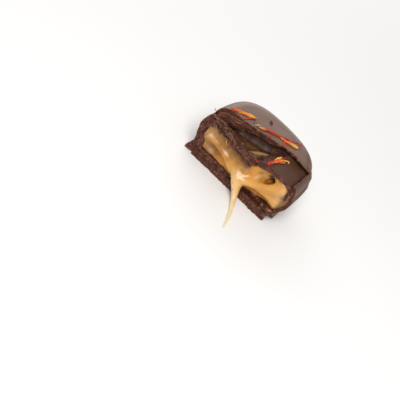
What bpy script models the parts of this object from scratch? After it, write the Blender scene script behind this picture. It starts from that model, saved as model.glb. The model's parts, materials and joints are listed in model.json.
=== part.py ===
"""Half of a chocolate-coated soft caramel, cut open, lying on its flat base.

Metres, +Z up. The origin is in the middle of the underside: +X runs along the cut to the right, +Y goes
back into the sweet, and the cut faces -Y. Each layer is one closed solid. The functions measure y from
the plane of the cut, and main moves everything to the origin at the end.
"""

import math
import random

import bmesh
import bpy
from mathutils import Matrix, Vector, noise
from mathutils.bvhtree import BVHTree

MM = 0.001

# Driving sizes of the coated sweet
DEPTH = 21.8 * MM
SHOULDER_Z = 12.8 * MM
CROWN_RISE = 3.7 * MM
CROWN_INSET = 3.9 * MM
DOME_RISE = 0.5 * MM
PAST_CUT = 12.0 * MM
CUT_TO_MIDDLE = 10.9 * MM

# Sections of the side from foot to shoulder, in mm: height, half width to the left and to the right, how
# far back, and how square the corners are
SECTIONS = (
    (0.0, 16.3, 15.4, 21.5, 4.6),
    (0.8, 16.3, 15.5, 21.8, 4.4),
    (2.2, 15.8, 15.4, 21.4, 4.2),
    (3.7, 15.2, 15.3, 20.9, 4.0),
    (5.5, 15.5, 15.7, 21.1, 3.8),
    (8.0, 16.2, 16.3, 21.4, 3.6),
    (10.5, 16.5, 16.5, 21.3, 3.5),
    (12.8, 16.0, 15.9, 20.6, 3.4),
)
LEVELS = (0.0, 0.8, 1.6, 2.6, 3.7, 4.9, 6.2, 7.6, 9.0, 10.2)

# How much each side closes in towards the back, and how far the back right corner is drawn in
LEFT_TAPER = 0.07
RIGHT_TAPER = 0.03
BACK_SKEW = 0.9 * MM

# The right wall was pushed out in front of this line when the top broke
BULGE = 0.8 * MM
BULGE_Y = 12.2 * MM

# Thickness of the chocolate coat
LEFT_WALL = 3.0 * MM
RIGHT_WALL = 1.15 * MM
BACK_WALL = 1.8 * MM
TOP_WALL = 1.4 * MM
GAP = 0.3 * MM

# Base slab, of two layers that came apart along a crack
SLAB_TOP = 3.7 * MM
SLAB_CRACK_Z = 2.5 * MM
SLAB_FRONT = -0.3 * MM
SLAB_RIGHT = 13.6 * MM
SLAB_LIFT = 0.8 * MM
UPPER_LAYER_RIGHT = 15.9 * MM
UPPER_LAYER_BACK = 1.3 * MM

# The chip out of the lower right corner of the coat, at the cut
CHIP_DEPTH = 3.6 * MM
CHIP_HEIGHT = 3.8 * MM

# Cutters and fillings are made larger than the sweet and cut to it: half width, heights, front and depth
CUTTER_HALF = 19.0 * MM
CUTTER_LOW = -3.0 * MM
CUTTER_HIGH = 19.0 * MM
CUTTER_FRONT = -16.0 * MM
PAST_BACK = DEPTH + 2.0 * MM

# Where the top of the coat broke away in front of the ridge
BREAK_FLOOR = 12.5 * MM
CRACK_X = 14.7 * MM
RIDGE = (
    (-20.0, 4.4), (-11.5, 5.0), (-6.6, 5.4), (-2.5, 6.4), (2.2, 7.7),
    (5.6, 9.1), (9.0, 9.6), (12.9, 8.8), (15.0, 9.2),
)

# The sunken shard of the top, right of the hollow
SHARD_SINK = 1.45 * MM
SHARD_THICK = 1.5 * MM
SHARD_LEFT = 3.4 * MM
SHARD_RIGHT = 14.2 * MM
SHARD_FRONT = -0.5 * MM

# The bent flap of the top, left of the hollow
FLAP_LEFT = -14.4 * MM
FLAP_RIGHT = -5.6 * MM
FLAP_FRONT = 2.3 * MM
FLAP_THICK = 1.2 * MM

# Caramel string in mm: centre line, half width and half thickness, from inside the filling down to the
# floor in front
STRING = (
    (0.4, 2.4, 7.2, 4.4, 2.0),
    (1.0, 0.7, 6.6, 3.7, 1.9),
    (1.7, -0.7, 5.6, 2.7, 1.6),
    (2.5, -1.8, 4.1, 1.75, 1.25),
    (3.6, -2.6, 2.4, 1.1, 0.9),
    (4.8, -4.0, 1.05, 0.78, 0.7),
    (6.0, -6.4, 0.64, 0.62, 0.58),
    (7.1, -9.0, 0.5, 0.5, 0.46),
    (8.1, -12.2, 0.36, 0.36, 0.33),
    (8.8, -15.0, 0.22, 0.2, 0.18),
)

# The face of the filling, as (x, z) in mm: folds that stand out, and the valley between them
LEFT_FOLD = ((-13.0, 8.6), (-8.5, 8.3), (-5.0, 7.0), (-1.5, 5.6))
RIGHT_FOLD = ((2.6, 5.4), (6.5, 7.4), (10.0, 9.6), (14.0, 11.6))
VALLEY = ((3.4, 8.4), (6.0, 9.8), (8.8, 11.8))

# Top of the filling in mm, in the hollow in front of the ridge and under the coat behind it
FILLING_FLOOR = 12.3
FILLING_CEILING = 16.2

# How far the filling's underside stands off the slab at the right end
FILLING_LIFT = 1.3 * MM

# The crushed front edge of the top in mm: x, then its lower and upper height, its front and its back
CRUSHED_EDGE = (
    (-13.2, 12.9, 14.1, -0.6, 1.9),
    (-9.0, 12.6, 14.3, -0.9, 2.0),
    (-6.0, 12.2, 13.9, -1.0, 1.9),
    (-4.0, 11.5, 13.2, -1.2, 1.7),
    (-1.0, 11.2, 12.9, -1.3, 1.6),
    (2.4, 11.3, 12.6, -1.0, 1.6),
)
FLAKES = 10

# Saffron threads stand this far out of the chocolate that they are stuck in
THREAD_ABOVE = 0.35 * MM
THREAD_BELOW = 0.3 * MM

# Saffron threads on the coat and on the sunken shard: start, end, half widths at both, sideways bend and
# rise of the far end, all in mm
COAT_THREADS = (
    ((-12.6, 7.9), (-6.4, 9.5), 0.34, 0.5, 0.2, 0.1),
    ((-3.4, 7.6), (5.2, 13.6), 0.3, 0.36, -0.3, 0.0),
    ((4.6, 13.0), (8.4, 15.4), 0.28, 0.2, -0.2, 0.9),
    ((1.7, 10.9), (7.2, 12.7), 0.3, 0.5, 0.1, 0.0),
    ((3.6, 11.6), (4.6, 9.8), 0.28, 0.25, 0.0, 0.0),
)
SHARD_THREADS = (
    ((5.5, 0.7), (7.9, 6.2), 0.4, 0.45, 0.3, 0.0),
    ((5.6, 3.0), (6.5, 6.4), 0.3, 0.25, 0.4, 0.3),
)

DARK_CHOCOLATE = (0.075, 0.032, 0.022, 1.0)
BROKEN_CHOCOLATE = (0.12, 0.050, 0.033, 1.0)
CARAMEL = (0.62, 0.33, 0.09, 1.0)


def clear_scene():
    for old in list(bpy.data.objects):
        bpy.data.objects.remove(old, do_unlink=True)


def material(name, colour, roughness):
    made = bpy.data.materials.new(name)
    made.use_nodes = True
    shader = made.node_tree.nodes["Principled BSDF"]
    shader.inputs["Base Color"].default_value = colour
    shader.inputs["Roughness"].default_value = roughness
    shader.inputs["Metallic"].default_value = 0.0
    return made


def add_mesh(name, points, faces, finish=None):
    """A new object in the scene, from points and faces."""
    mesh = bpy.data.meshes.new(name)
    mesh.from_pydata([tuple(p) for p in points], [], faces)
    mesh.validate()
    made = bpy.data.objects.new(name, mesh)
    bpy.context.scene.collection.objects.link(made)
    if finish:
        mesh.materials.append(finish)
    return made


def smooth_step(low, high, value):
    share = min(1.0, max(0.0, (value - low) / (high - low)))
    return share * share * (3.0 - 2.0 * share)


def along(table, value):
    """The columns of a table of rows at a value of its first column, by straight lines between rows."""
    if value <= table[0][0]:
        return table[0][1:]
    for low, high in zip(table, table[1:]):
        if value <= high[0]:
            share = (value - low[0]) / (high[0] - low[0])
            return tuple(a + (b - a) * share for a, b in zip(low[1:], high[1:]))
    return table[-1][1:]


def smooth_along(table, value):
    """The columns of a table at a value of its first column, along a smooth curve through the rows."""
    last = len(table) - 1
    value = min(max(value, table[0][0]), table[last][0])
    place = max(i for i in range(last) if table[i][0] <= value)
    before, low, high, after = (table[min(max(place + step, 0), last)] for step in (-1, 0, 1, 2))
    span = high[0] - low[0]
    t = (value - low[0]) / span
    found = []
    for column in range(1, len(low)):
        slope_low = (high[column] - before[column]) / (high[0] - before[0]) * span
        slope_high = (after[column] - low[column]) / (after[0] - low[0]) * span
        found.append(
            low[column] * (2 * t ** 3 - 3 * t ** 2 + 1) + high[column] * (3 * t ** 2 - 2 * t ** 3)
            + slope_low * (t ** 3 - 2 * t ** 2 + t) + slope_high * (t ** 3 - t ** 2)
        )
    return found


def crag(x, y, z, size, height):
    """Rough relief of broken chocolate: a height for a point, with lumps of the given size."""
    return height * noise.fractal(Vector((x, y, z)) / size, 0.7, 2.1, 3)


def bump(x, z, centre_x, centre_z, reach_x, reach_z):
    """A round swelling over the cut face, 1 at its centre and near 0 past its reach."""
    far = ((x / MM - centre_x) / reach_x) ** 2 + ((z / MM - centre_z) / reach_z) ** 2
    return math.exp(-1.6 * far)


def streak(x, z, line, reach):
    """A long swelling over the cut face along a line of points (x, z) in mm, near 0 past its reach."""
    here = Vector((x / MM, z / MM))
    nearest = 1e9
    for start, end in zip(line, line[1:]):
        start, end = Vector(start), Vector(end)
        share = min(1.0, max(0.0, (here - start).dot(end - start) / (end - start).length_squared))
        nearest = min(nearest, (here - start.lerp(end, share)).length)
    return math.exp(-1.6 * (nearest / reach) ** 2)


def rounded_loft(name, steps, crown_steps, dome_steps, walls=(0.0, 0.0, 0.0, 0.0), past=0.0, finish=None):
    """The sweet's outer form, or the same form inset by its walls (left, right, back, top), as a closed loft.

    past is how far an inset form runs out of the outer one in front and below, so that it cuts right through.
    """
    left_wall, right_wall, back_wall, top_wall = walls
    front_y = -PAST_CUT - past
    top_z = SHOULDER_Z + CROWN_RISE - top_wall
    rings = []

    def ring(z, inset, shrink=1.0):
        left, right, back, squareness = smooth_along(SECTIONS, min(z, SHOULDER_Z) / MM)
        left = left * MM - left_wall - inset
        right = right * MM - right_wall - inset
        back_y = back * MM - back_wall - inset
        half_x, middle_x = (left + right) / 2, (right - left) / 2
        half_y, middle_y = (back_y - front_y) / 2, (back_y + front_y) / 2
        bulge = BULGE * smooth_step(4 * MM, 8.5 * MM, z)
        points = []
        for step in range(steps):
            angle = 2 * math.pi * step / steps
            cos, sin = math.cos(angle), math.sin(angle)
            size = (abs(cos) ** squareness + abs(sin) ** squareness) ** (-1 / squareness)
            x = half_x * size * cos
            y = middle_y + shrink * half_y * size * sin
            side = x / half_x
            x -= (LEFT_TAPER if side < 0 else RIGHT_TAPER) * side * max(0.0, y)
            x += bulge * max(0.0, side) * (1 - smooth_step(BULGE_Y - 0.8 * MM, BULGE_Y + 0.8 * MM, y))
            y -= BACK_SKEW * max(0.0, side) * smooth_step(0.0, DEPTH, y)
            points.append((middle_x + shrink * x, y))
        return points

    crown_low = SHOULDER_Z - top_wall
    if past:
        rings.append((ring(0.0, 0.0), -past))
    for z in (level * MM for level in LEVELS):
        rings.append((ring(z, 0.0), z))
    for step in range(crown_steps + 1):
        turn = math.pi / 2 * step / crown_steps
        z = crown_low + (top_z - crown_low) * math.sin(turn)
        rings.append((ring(crown_low, CROWN_INSET * (1 - math.cos(turn))), z))
    for step in range(1, dome_steps):
        shrink = 1 - step / dome_steps
        z = top_z + DOME_RISE * (1 - shrink * shrink)
        rings.append((ring(crown_low, CROWN_INSET, shrink), z))

    points = [(x, y, z) for outline, z in rings for x, y in outline]
    faces = []
    for level in range(len(rings) - 1):
        for step in range(steps):
            a = level * steps + step
            b = level * steps + (step + 1) % steps
            faces.append((a, b, b + steps, a + steps))
    faces.append(tuple(reversed(range(steps))))
    pole = len(points)
    last = (len(rings) - 1) * steps
    mid_x = sum(p[0] for p in points[last:]) / steps
    mid_y = sum(p[1] for p in points[last:]) / steps
    points.append((mid_x, mid_y, top_z + DOME_RISE))
    faces += [(last + step, last + (step + 1) % steps, pole) for step in range(steps)]
    return add_mesh(name, points, faces, finish)


def block(name, cells, place, finish=None):
    """A closed box of a grid of faces. place puts a point of the unit cube where the piece has it."""
    index, points, faces = {}, [], []

    def corner(i, j, k):
        if (i, j, k) not in index:
            index[i, j, k] = len(points)
            points.append(place(i / cells[0], j / cells[1], k / cells[2]))
        return index[i, j, k]

    for axis in range(3):
        u, v = (axis + 1) % 3, (axis + 2) % 3
        for side in (0, cells[axis]):
            for a in range(cells[u]):
                for b in range(cells[v]):
                    quad = []
                    for da, db in ((0, 0), (1, 0), (1, 1), (0, 1)):
                        at = [0, 0, 0]
                        at[axis], at[u], at[v] = side, a + da, b + db
                        quad.append(corner(*at))
                    faces.append(quad if side else quad[::-1])
    return add_mesh(name, points, faces, finish)


def tube(name, route, sides):
    """A tapered string along points (x, y, z, half width, half thickness)."""
    points, faces = [], []
    for place, (x, y, z, wide, thick) in enumerate(route):
        here = Vector((x, y, z))
        before = Vector(route[max(place - 1, 0)][:3])
        after = Vector(route[min(place + 1, len(route) - 1)][:3])
        forward = (after - before).normalized()
        across = forward.cross(Vector((0, 0, 1))).normalized()
        upward = forward.cross(across)
        for step in range(sides):
            angle = 2 * math.pi * step / sides
            points.append(here + across * wide * math.cos(angle) + upward * thick * math.sin(angle))
    for ring in range(len(route) - 1):
        for step in range(sides):
            a = ring * sides + step
            b = ring * sides + (step + 1) % sides
            faces.append((a, b, b + sides, a + sides))
    faces.append(tuple(reversed(range(sides))))
    faces.append(tuple(range((len(route) - 1) * sides, len(route) * sides)))
    return add_mesh(name, points, faces)


def smooth_route(rows, between):
    """Rows in mm, filled in along a smooth curve and turned to metres."""
    dense = []
    for place in range(len(rows) - 1):
        p0 = Vector(rows[max(place - 1, 0)])
        p1 = Vector(rows[place])
        p2 = Vector(rows[place + 1])
        p3 = Vector(rows[min(place + 2, len(rows) - 1)])
        for step in range(between):
            t = step / between
            bend, twist = 2 * p0 - 5 * p1 + 4 * p2 - p3, 3 * p1 - p0 - 3 * p2 + p3
            dense.append(0.5 * (2 * p1 + (p2 - p0) * t + bend * t ** 2 + twist * t ** 3))
    dense.append(Vector(rows[-1]))
    return [tuple(value * MM for value in row) for row in dense]


def apply_boolean(target, others, operation, solver="EXACT"):
    """Joins, cuts or crosses target with the other objects for good, and removes them."""
    group = bpy.data.collections.new(operation)
    bpy.context.scene.collection.children.link(group)
    for other in others:
        bpy.context.scene.collection.objects.unlink(other)
        group.objects.link(other)
    made = target.modifiers.new(operation.title(), "BOOLEAN")
    made.operation = operation
    made.solver = solver
    made.operand_type = "COLLECTION"
    made.collection = group
    bpy.context.view_layer.update()
    graph = bpy.context.evaluated_depsgraph_get()
    mesh = bpy.data.meshes.new_from_object(target.evaluated_get(graph))
    target.modifiers.clear()
    old = target.data
    target.data = mesh
    mesh.name = target.name
    bpy.data.meshes.remove(old)
    for other in others:
        bpy.data.objects.remove(other, do_unlink=True)
    bpy.data.collections.remove(group)


def keep_largest(target):
    """Drops loose scraps and the walls of sealed hollows, so that one closed surface is left."""
    work = bmesh.new()
    work.from_mesh(target.data)
    left, islands = set(work.verts), []
    while left:
        found, edge = set(), {left.pop()}
        while edge:
            found |= edge
            edge = {e.other_vert(v) for v in edge for e in v.link_edges} - found
        left -= found
        islands.append(found)
    islands.sort(key=len)
    bmesh.ops.delete(work, geom=[v for island in islands[:-1] for v in island], context="VERTS")
    work.to_mesh(target.data)
    work.free()


def tree_of(target):
    mesh = target.data
    return BVHTree.FromPolygons([v.co for v in mesh.vertices], [tuple(p.vertices) for p in mesh.polygons])


def top_of(tree, x, y):
    """Height of the highest surface over (x, y)."""
    hit = tree.ray_cast(Vector((x, y, 50 * MM)), Vector((0, 0, -1)))
    return hit[0].z if hit[0] else SHOULDER_Z


def ridge_y(x):
    """How far back the top broke away, along the cut."""
    return along(RIDGE, x / MM)[0] * MM


def cut_y(x, z):
    """The cut through the coat: nearly flat, crumbled at the left wall, chipped at the lower right."""
    left = 1.0 - smooth_step(-14.0 * MM, -12.0 * MM, x)
    right = smooth_step(12.5 * MM, 13.5 * MM, x)
    chip = right * max(0.0, CHIP_DEPTH * (1 - z / CHIP_HEIGHT))
    crumble = left * (0.25 * MM + crag(x, 0.0, z, 1.6 * MM, 0.45 * MM))
    return chip + crumble + crag(x, 1.0, z, 2.4 * MM, 0.12 * MM)


def front_cutter():
    """All that lay on the other side of the cut."""

    def place(s, t, w):
        x = CUTTER_HALF * (2 * s - 1)
        z = CUTTER_LOW + w * (CUTTER_HIGH - CUTTER_LOW)
        y = CUTTER_FRONT + t * (cut_y(x, z) - CUTTER_FRONT)
        return x, y, z

    return block("front_cutter", (30, 1, 18), place)


def break_cutter():
    """The front strip of the top, which broke off along the ridge and the right-hand crack."""

    def place(s, t, w):
        x = -CUTTER_HALF + s * (CRACK_X + CUTTER_HALF)
        z = BREAK_FLOOR + w * (CUTTER_HIGH - BREAK_FLOOR)
        edge = ridge_y(x) + crag(x, 2.0, z, 1.8 * MM, 0.3 * MM)
        y = CUTTER_FRONT + t * (edge - CUTTER_FRONT)
        if s == 1:
            x += crag(1.0, y, z, 1.8 * MM, 0.22 * MM)
        if w == 0:
            z += crag(x, y, 4.0, 2.0 * MM, 0.5 * MM)
        return x, y, z

    return block("break_cutter", (34, 9, 4), place)


def ribbon(name, points, widths, above, below):
    """A flat dried thread along points (x, y, z) with a half width at each, in metres."""
    ring, faces = [], []
    for place, here in enumerate(points):
        before = Vector(points[max(place - 1, 0)])
        after = Vector(points[min(place + 1, len(points) - 1)])
        across = (after - before).normalized().cross(Vector((0, 0, 1))).normalized() * widths[place]
        for side, height in ((1, -below), (-1, -below), (-1, above), (1, above)):
            ring.append(Vector(here) + across * side + Vector((0, 0, height)))
    for place in range(len(points) - 1):
        for step in range(4):
            a = place * 4 + step
            b = place * 4 + (step + 1) % 4
            faces.append((a, b, b + 4, a + 4))
    last = (len(points) - 1) * 4
    faces += [(3, 2, 1, 0), (last, last + 1, last + 2, last + 3)]
    return add_mesh(name, ring, faces)


def thread_on(tree, name, start, end, half_start, half_end, bend, rise, pieces=6):
    """A thread lying on a surface from start to end, (x, y) in mm, sunk a little so that it is fused."""
    points, widths = [], []
    for step in range(pieces + 1):
        t = step / pieces
        side = bend * math.sin(math.pi * t)
        dx, dy = end[0] - start[0], end[1] - start[1]
        length = math.hypot(dx, dy)
        x = (start[0] + dx * t - dy / length * side) * MM
        y = (start[1] + dy * t + dx / length * side) * MM
        z = top_of(tree, x, y) + rise * t * t * MM
        points.append((x, y, z))
        widths.append((half_start + (half_end - half_start) * t) * MM)
    return ribbon(name, points, widths, THREAD_ABOVE, THREAD_BELOW)


def make_room():
    """The room inside the coat, clear of its walls, for what fills it."""
    walls = [wall + GAP for wall in (LEFT_WALL, RIGHT_WALL, BACK_WALL, TOP_WALL)]
    return rounded_loft("room", 36, 4, 3, walls, 1.5 * MM)


def make_shell(chocolate):
    shell = rounded_loft("shell", 44, 5, 4, finish=chocolate)
    cavity = rounded_loft("cavity", 36, 4, 3, (LEFT_WALL, RIGHT_WALL, BACK_WALL, TOP_WALL), 1.5 * MM)
    apply_boolean(shell, [cavity], "DIFFERENCE")
    apply_boolean(shell, [front_cutter(), break_cutter()], "DIFFERENCE", "MANIFOLD")
    tree = tree_of(shell)
    threads = [thread_on(tree, f"thread_{number}", *row) for number, row in enumerate(COAT_THREADS)]
    apply_boolean(shell, threads, "UNION", "MANIFOLD")
    keep_largest(shell)
    return shell


def make_slab(chocolate):
    """Both layers of the base, crossed with the room inside the coat. The upper one is set back."""

    def lower(s, t, w):
        x = -CUTTER_HALF + s * (SLAB_RIGHT + CUTTER_HALF)
        z = w * SLAB_CRACK_Z
        y = SLAB_FRONT + crag(x, 3.0, z, 1.5 * MM, 0.3 * MM) + t * PAST_BACK
        if s == 1:
            x += crag(5.0, y, z, 1.5 * MM, 0.3 * MM)
        return x, y, z

    def upper(s, t, w):
        x = -CUTTER_HALF + s * (UPPER_LAYER_RIGHT + CUTTER_HALF)
        low = SLAB_CRACK_Z - 0.2 * MM
        z = low + w * (SLAB_TOP - low)
        setback = UPPER_LAYER_BACK * smooth_step(-4 * MM, 3 * MM, x) * (1 - smooth_step(10 * MM, 11 * MM, x))
        y = setback - 0.1 * MM + crag(x, 7.0, z, 1.5 * MM, 0.35 * MM) + t * PAST_BACK
        if w == 1:
            lift = SLAB_LIFT * smooth_step(8 * MM, 13 * MM, x) * (1 - t)
            z += lift + crag(x, y, 9.0, 3 * MM, 0.12 * MM)
        return x, y, z

    slab = block("base_slab", (26, 4, 3), lower, chocolate)
    apply_boolean(slab, [block("upper_layer", (26, 4, 2), upper)], "UNION", "MANIFOLD")
    apply_boolean(slab, [make_room()], "INTERSECT", "MANIFOLD")
    keep_largest(slab)
    return slab


def filling_front(x, z):
    """The face of the filling: a slumped sheet, whose two folds run into the string over two hollows."""
    out = (
        1.2 * bump(x, z, 1.8, 7.2, 6.5, 3.6)
        + 1.0 * bump(x, z, 1.8, 5.2, 3.0, 2.4)
        + 1.1 * streak(x, z, LEFT_FOLD, 1.5)
        + 1.0 * streak(x, z, RIGHT_FOLD, 1.9)
    )
    back = (
        1.5 * bump(x, z, -9.0, 5.6, 4.5, 1.7)
        + 1.7 * bump(x, z, 9.0, 4.4, 6.0, 1.3)
        + 0.8 * streak(x, z, VALLEY, 1.7)
        + 1.2 * bump(x, z, 8.8, 11.9, 1.5, 1.4)
    )
    return (0.3 - out + back) * MM


def filling_top(x, y):
    """The top of the filling: up to the coat at the back, sunk under the broken pieces in front."""
    pressed = smooth_step(-8.5 * MM, -4.5 * MM, x) * (1 - smooth_step(2.0 * MM, 3.2 * MM, y))
    hollow = FILLING_FLOOR - 0.6 * math.exp(-(((x / MM) + 1.5) / 4.5) ** 2) * (1 - pressed) - 1.4 * pressed
    under_shard = 12.9 - 1.5 * smooth_step(9.0 * MM, 14.5 * MM, x)
    front = hollow + (under_shard - hollow) * smooth_step(2.5 * MM, 4.0 * MM, x)
    behind = smooth_step(0.1 * MM, 1.8 * MM, y - ridge_y(x))
    return (front + (FILLING_CEILING - front) * behind) * MM


def make_filling(caramel):
    """The soft caramel with its string, which ran out of the cut and lies on the floor."""

    def place(s, t, w):
        x = CUTTER_HALF * (2 * s - 1)
        low = SLAB_TOP + GAP + FILLING_LIFT * smooth_step(7 * MM, 13 * MM, x)
        z = low + w * (filling_top(x, t * PAST_BACK) - low)
        y = filling_front(x, z) + t * PAST_BACK
        return x, y, z

    filling = block("caramel", (44, 12, 16), place, caramel)
    apply_boolean(filling, [make_room()], "INTERSECT", "MANIFOLD")
    apply_boolean(filling, [tube("string", smooth_route(STRING, 3), 12)], "UNION", "MANIFOLD")
    return filling


def make_shard(tree, chocolate):
    """The flat piece of the top that sank in one go, right of the hollow."""

    def place(s, t, w):
        left = SHARD_LEFT + crag(6.0, t * 9 * MM, 2.0, 2.0 * MM, 0.7 * MM)
        x = left + s * (SHARD_RIGHT - left)
        front = SHARD_FRONT + crag(x, 4.0, w * MM, 2.0 * MM, 0.25 * MM)
        y = front + t * (ridge_y(x) - 0.45 * MM - front)
        top = top_of(tree, min(x, 14.0 * MM), y) - SHARD_SINK
        thick = SHARD_THICK + 0.5 * MM * (1 - smooth_step(3 * MM, 9 * MM, x)) * (1 - t)
        return x, y, top - thick * (1 - w)

    shard = block("sunken_shard", (12, 9, 2), place, chocolate)
    surface = tree_of(shard)
    tuft = [thread_on(surface, f"tuft_{number}", *row) for number, row in enumerate(SHARD_THREADS)]
    apply_boolean(shard, tuft, "UNION", "MANIFOLD")
    keep_largest(shard)
    return shard


def make_flap(tree, chocolate):
    """The strip of the top that bent down in front of the ridge, left of the hollow."""

    def place(s, t, w):
        x = FLAP_LEFT + s * (FLAP_RIGHT - FLAP_LEFT) + (s * t) * 0.6 * MM
        front = FLAP_FRONT + crag(x, 8.0, 1.0, 2.0 * MM, 0.3 * MM)
        y = front + t * (ridge_y(x) - 0.45 * MM - front)
        drop = (0.55 + 1.5 * (1 - t)) * MM + 0.5 * MM * s
        top = top_of(tree, x, max(y, 3 * MM)) - drop + crag(x, y, 1.0, 1.6 * MM, 0.12 * MM)
        return x, y, top - FLAP_THICK * (1 - w)

    return block("bent_flap", (9, 4, 2), place, chocolate)


def make_flake(name, middle, size, turn, tip, seed):
    """A jagged chip of chocolate. Place and size are in mm, and its long side is turned and tipped."""

    def place(s, t, w):
        a, b, c = ((share - 0.5) * length * MM for share, length in zip((s, t, w), size))
        a, c = a * math.cos(tip) - c * math.sin(tip), a * math.sin(tip) + c * math.cos(tip)
        a, b = a * math.cos(turn) - b * math.sin(turn), a * math.sin(turn) + b * math.cos(turn)
        wander = crag(a + seed, b, c, 0.8 * MM, 0.2 * MM)
        return middle[0] * MM + a + wander, middle[1] * MM + b, middle[2] * MM + c + wander

    return block(name, (2, 1, 1), place)


def make_crushed_edge(chocolate):
    """The front edge of the top, crushed to lumps and flakes that lie on the filling."""
    rng = random.Random(4)
    first, last = CRUSHED_EDGE[0][0], CRUSHED_EDGE[-1][0]

    def core(s, t, w):
        x = first + (last - first) * s
        low, high, front, back = along(CRUSHED_EDGE, x)
        x *= MM
        y = (front + (back - front) * t) * MM + crag(x, w * MM, 2.0, 1.7 * MM, 0.4 * MM)
        z = (low + (high - low) * w) * MM + w * crag(x, y, 6.0, 1.4 * MM, 0.45 * MM)
        return x, y, z

    edge = block("crushed_edge", (22, 4, 3), core, chocolate)
    flakes = [make_flake("leaf", (-1.0, -0.9, 13.1), (4.0, 1.3, 0.7), 0.08, -0.12, 3.0)]
    for number in range(FLAKES):
        x = first + 0.6 + (last - first - 1.0) * (number + rng.uniform(0.2, 0.8)) / FLAKES
        at = (x, rng.uniform(-0.9, 1.3), along(CRUSHED_EDGE, x)[1] + rng.uniform(-0.5, 0.2))
        size = (rng.uniform(1.1, 2.3), rng.uniform(0.6, 1.0), rng.uniform(0.5, 1.0))
        turn, tip = rng.uniform(-0.7, 0.7), rng.uniform(-0.5, 0.6)
        flakes.append(make_flake(f"flake_{number}", at, size, turn, tip, number))
    apply_boolean(edge, flakes, "UNION", "MANIFOLD")
    keep_largest(edge)
    return edge


def shade(target):
    target.data.shade_smooth()
    target.data.set_sharp_from_angle(angle=math.radians(35))


def main():
    clear_scene()
    coat = material("tempered dark chocolate", DARK_CHOCOLATE, 0.35)
    broken = material("broken dark chocolate", BROKEN_CHOCOLATE, 0.75)
    soft = material("soft caramel", CARAMEL, 0.2)
    whole = tree_of(rounded_loft("whole_form", 44, 5, 4))
    bpy.data.objects.remove(bpy.data.objects["whole_form"], do_unlink=True)
    made = [
        make_shell(coat),
        make_slab(broken),
        make_filling(soft),
        make_shard(whole, coat),
        make_flap(whole, coat),
        make_crushed_edge(broken),
    ]
    for target in made:
        target.data.transform(Matrix.Translation((0.0, -CUT_TO_MIDDLE, 0.0)))
        shade(target)


main()
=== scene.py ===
"""Looks of the cut half of a chocolate-coated soft caramel, laid out as a Blender add-on.

The pieces are modelled in millimetres from the plane of the cut: x runs along the cut to the right, y back
into the sweet, and z up from what it lies on. settle() then brings each one into the frame.
"""

import json
import math
import random

import bmesh
import bpy
import numpy as np
from mathutils import Matrix, Vector, noise
from mathutils.bvhtree import BVHTree

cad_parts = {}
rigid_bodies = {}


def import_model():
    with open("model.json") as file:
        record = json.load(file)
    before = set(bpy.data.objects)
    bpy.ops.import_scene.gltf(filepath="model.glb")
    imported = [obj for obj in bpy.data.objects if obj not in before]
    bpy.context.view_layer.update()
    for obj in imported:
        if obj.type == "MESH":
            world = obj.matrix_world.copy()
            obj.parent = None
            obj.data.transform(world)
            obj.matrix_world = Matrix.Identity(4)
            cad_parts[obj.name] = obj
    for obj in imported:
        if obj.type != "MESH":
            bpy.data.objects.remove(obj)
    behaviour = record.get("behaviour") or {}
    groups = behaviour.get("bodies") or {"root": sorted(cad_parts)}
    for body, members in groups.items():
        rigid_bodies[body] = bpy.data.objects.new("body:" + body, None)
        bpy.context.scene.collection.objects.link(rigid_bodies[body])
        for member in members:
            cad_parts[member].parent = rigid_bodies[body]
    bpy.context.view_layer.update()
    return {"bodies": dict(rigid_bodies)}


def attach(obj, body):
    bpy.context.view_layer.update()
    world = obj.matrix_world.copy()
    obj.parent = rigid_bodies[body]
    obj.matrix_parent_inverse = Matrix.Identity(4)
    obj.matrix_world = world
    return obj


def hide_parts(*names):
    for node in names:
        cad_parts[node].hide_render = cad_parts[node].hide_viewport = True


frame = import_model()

bl_info = {
    "name": "Cut Caramel Looks",
    "version": (1, 0, 0),
    "blender": (4, 5, 0),
    "location": "View3D > Sidebar > Caramel",
    "description": "Dresses the cut half of a coated caramel: coat, filling, broken top and saffron",
    "category": "Object",
}

BODY = next(iter(frame["bodies"]))

# Without a seed, noise_vector gives other values each run
noise.seed_set(3)

# From millimetres at the cut to the frame's metres at the middle of the underside
MM = 0.001
CUT_TO_MIDDLE = 10.9

# The sweet's own sizes, in mm
DEPTH = 21.8
SHOULDER_Z = 12.8
CROWN_RISE = 3.7
CROWN_INSET = 3.9
DOME_RISE = 0.5
PAST_CUT = 12.0

# Sections of the side: height, half width to the left and to the right, how far back, squareness
SECTIONS = (
    (0.0, 16.3, 15.4, 21.5, 4.6),
    (0.8, 16.3, 15.5, 21.8, 4.4),
    (2.2, 15.8, 15.4, 21.4, 4.2),
    (3.7, 15.2, 15.3, 20.9, 4.0),
    (5.5, 15.5, 15.7, 21.1, 3.8),
    (8.0, 16.2, 16.3, 21.4, 3.6),
    (10.5, 16.5, 16.5, 21.3, 3.5),
    (12.8, 16.0, 15.9, 20.6, 3.4),
)
LEFT_TAPER = 0.07
RIGHT_TAPER = 0.03
BACK_SKEW = 0.9
BULGE = 0.8
BULGE_Y = 12.2

# Walls of the coat: left, right, back, top. The filling and the slab reach a little way into them
WALLS = (3.0, 1.15, 1.8, 1.4)
INTO_WALL = 0.15

# Base slab, of two layers
SLAB_TOP = 3.7
SLAB_CRACK_Z = 2.5
SLAB_FRONT = -0.3
SLAB_RIGHT = 13.6
SLAB_LIFT = 0.8
UPPER_LAYER_RIGHT = 15.9
UPPER_LAYER_BACK = 1.3
CHIP_DEPTH = 3.6
CHIP_HEIGHT = 3.8

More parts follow.
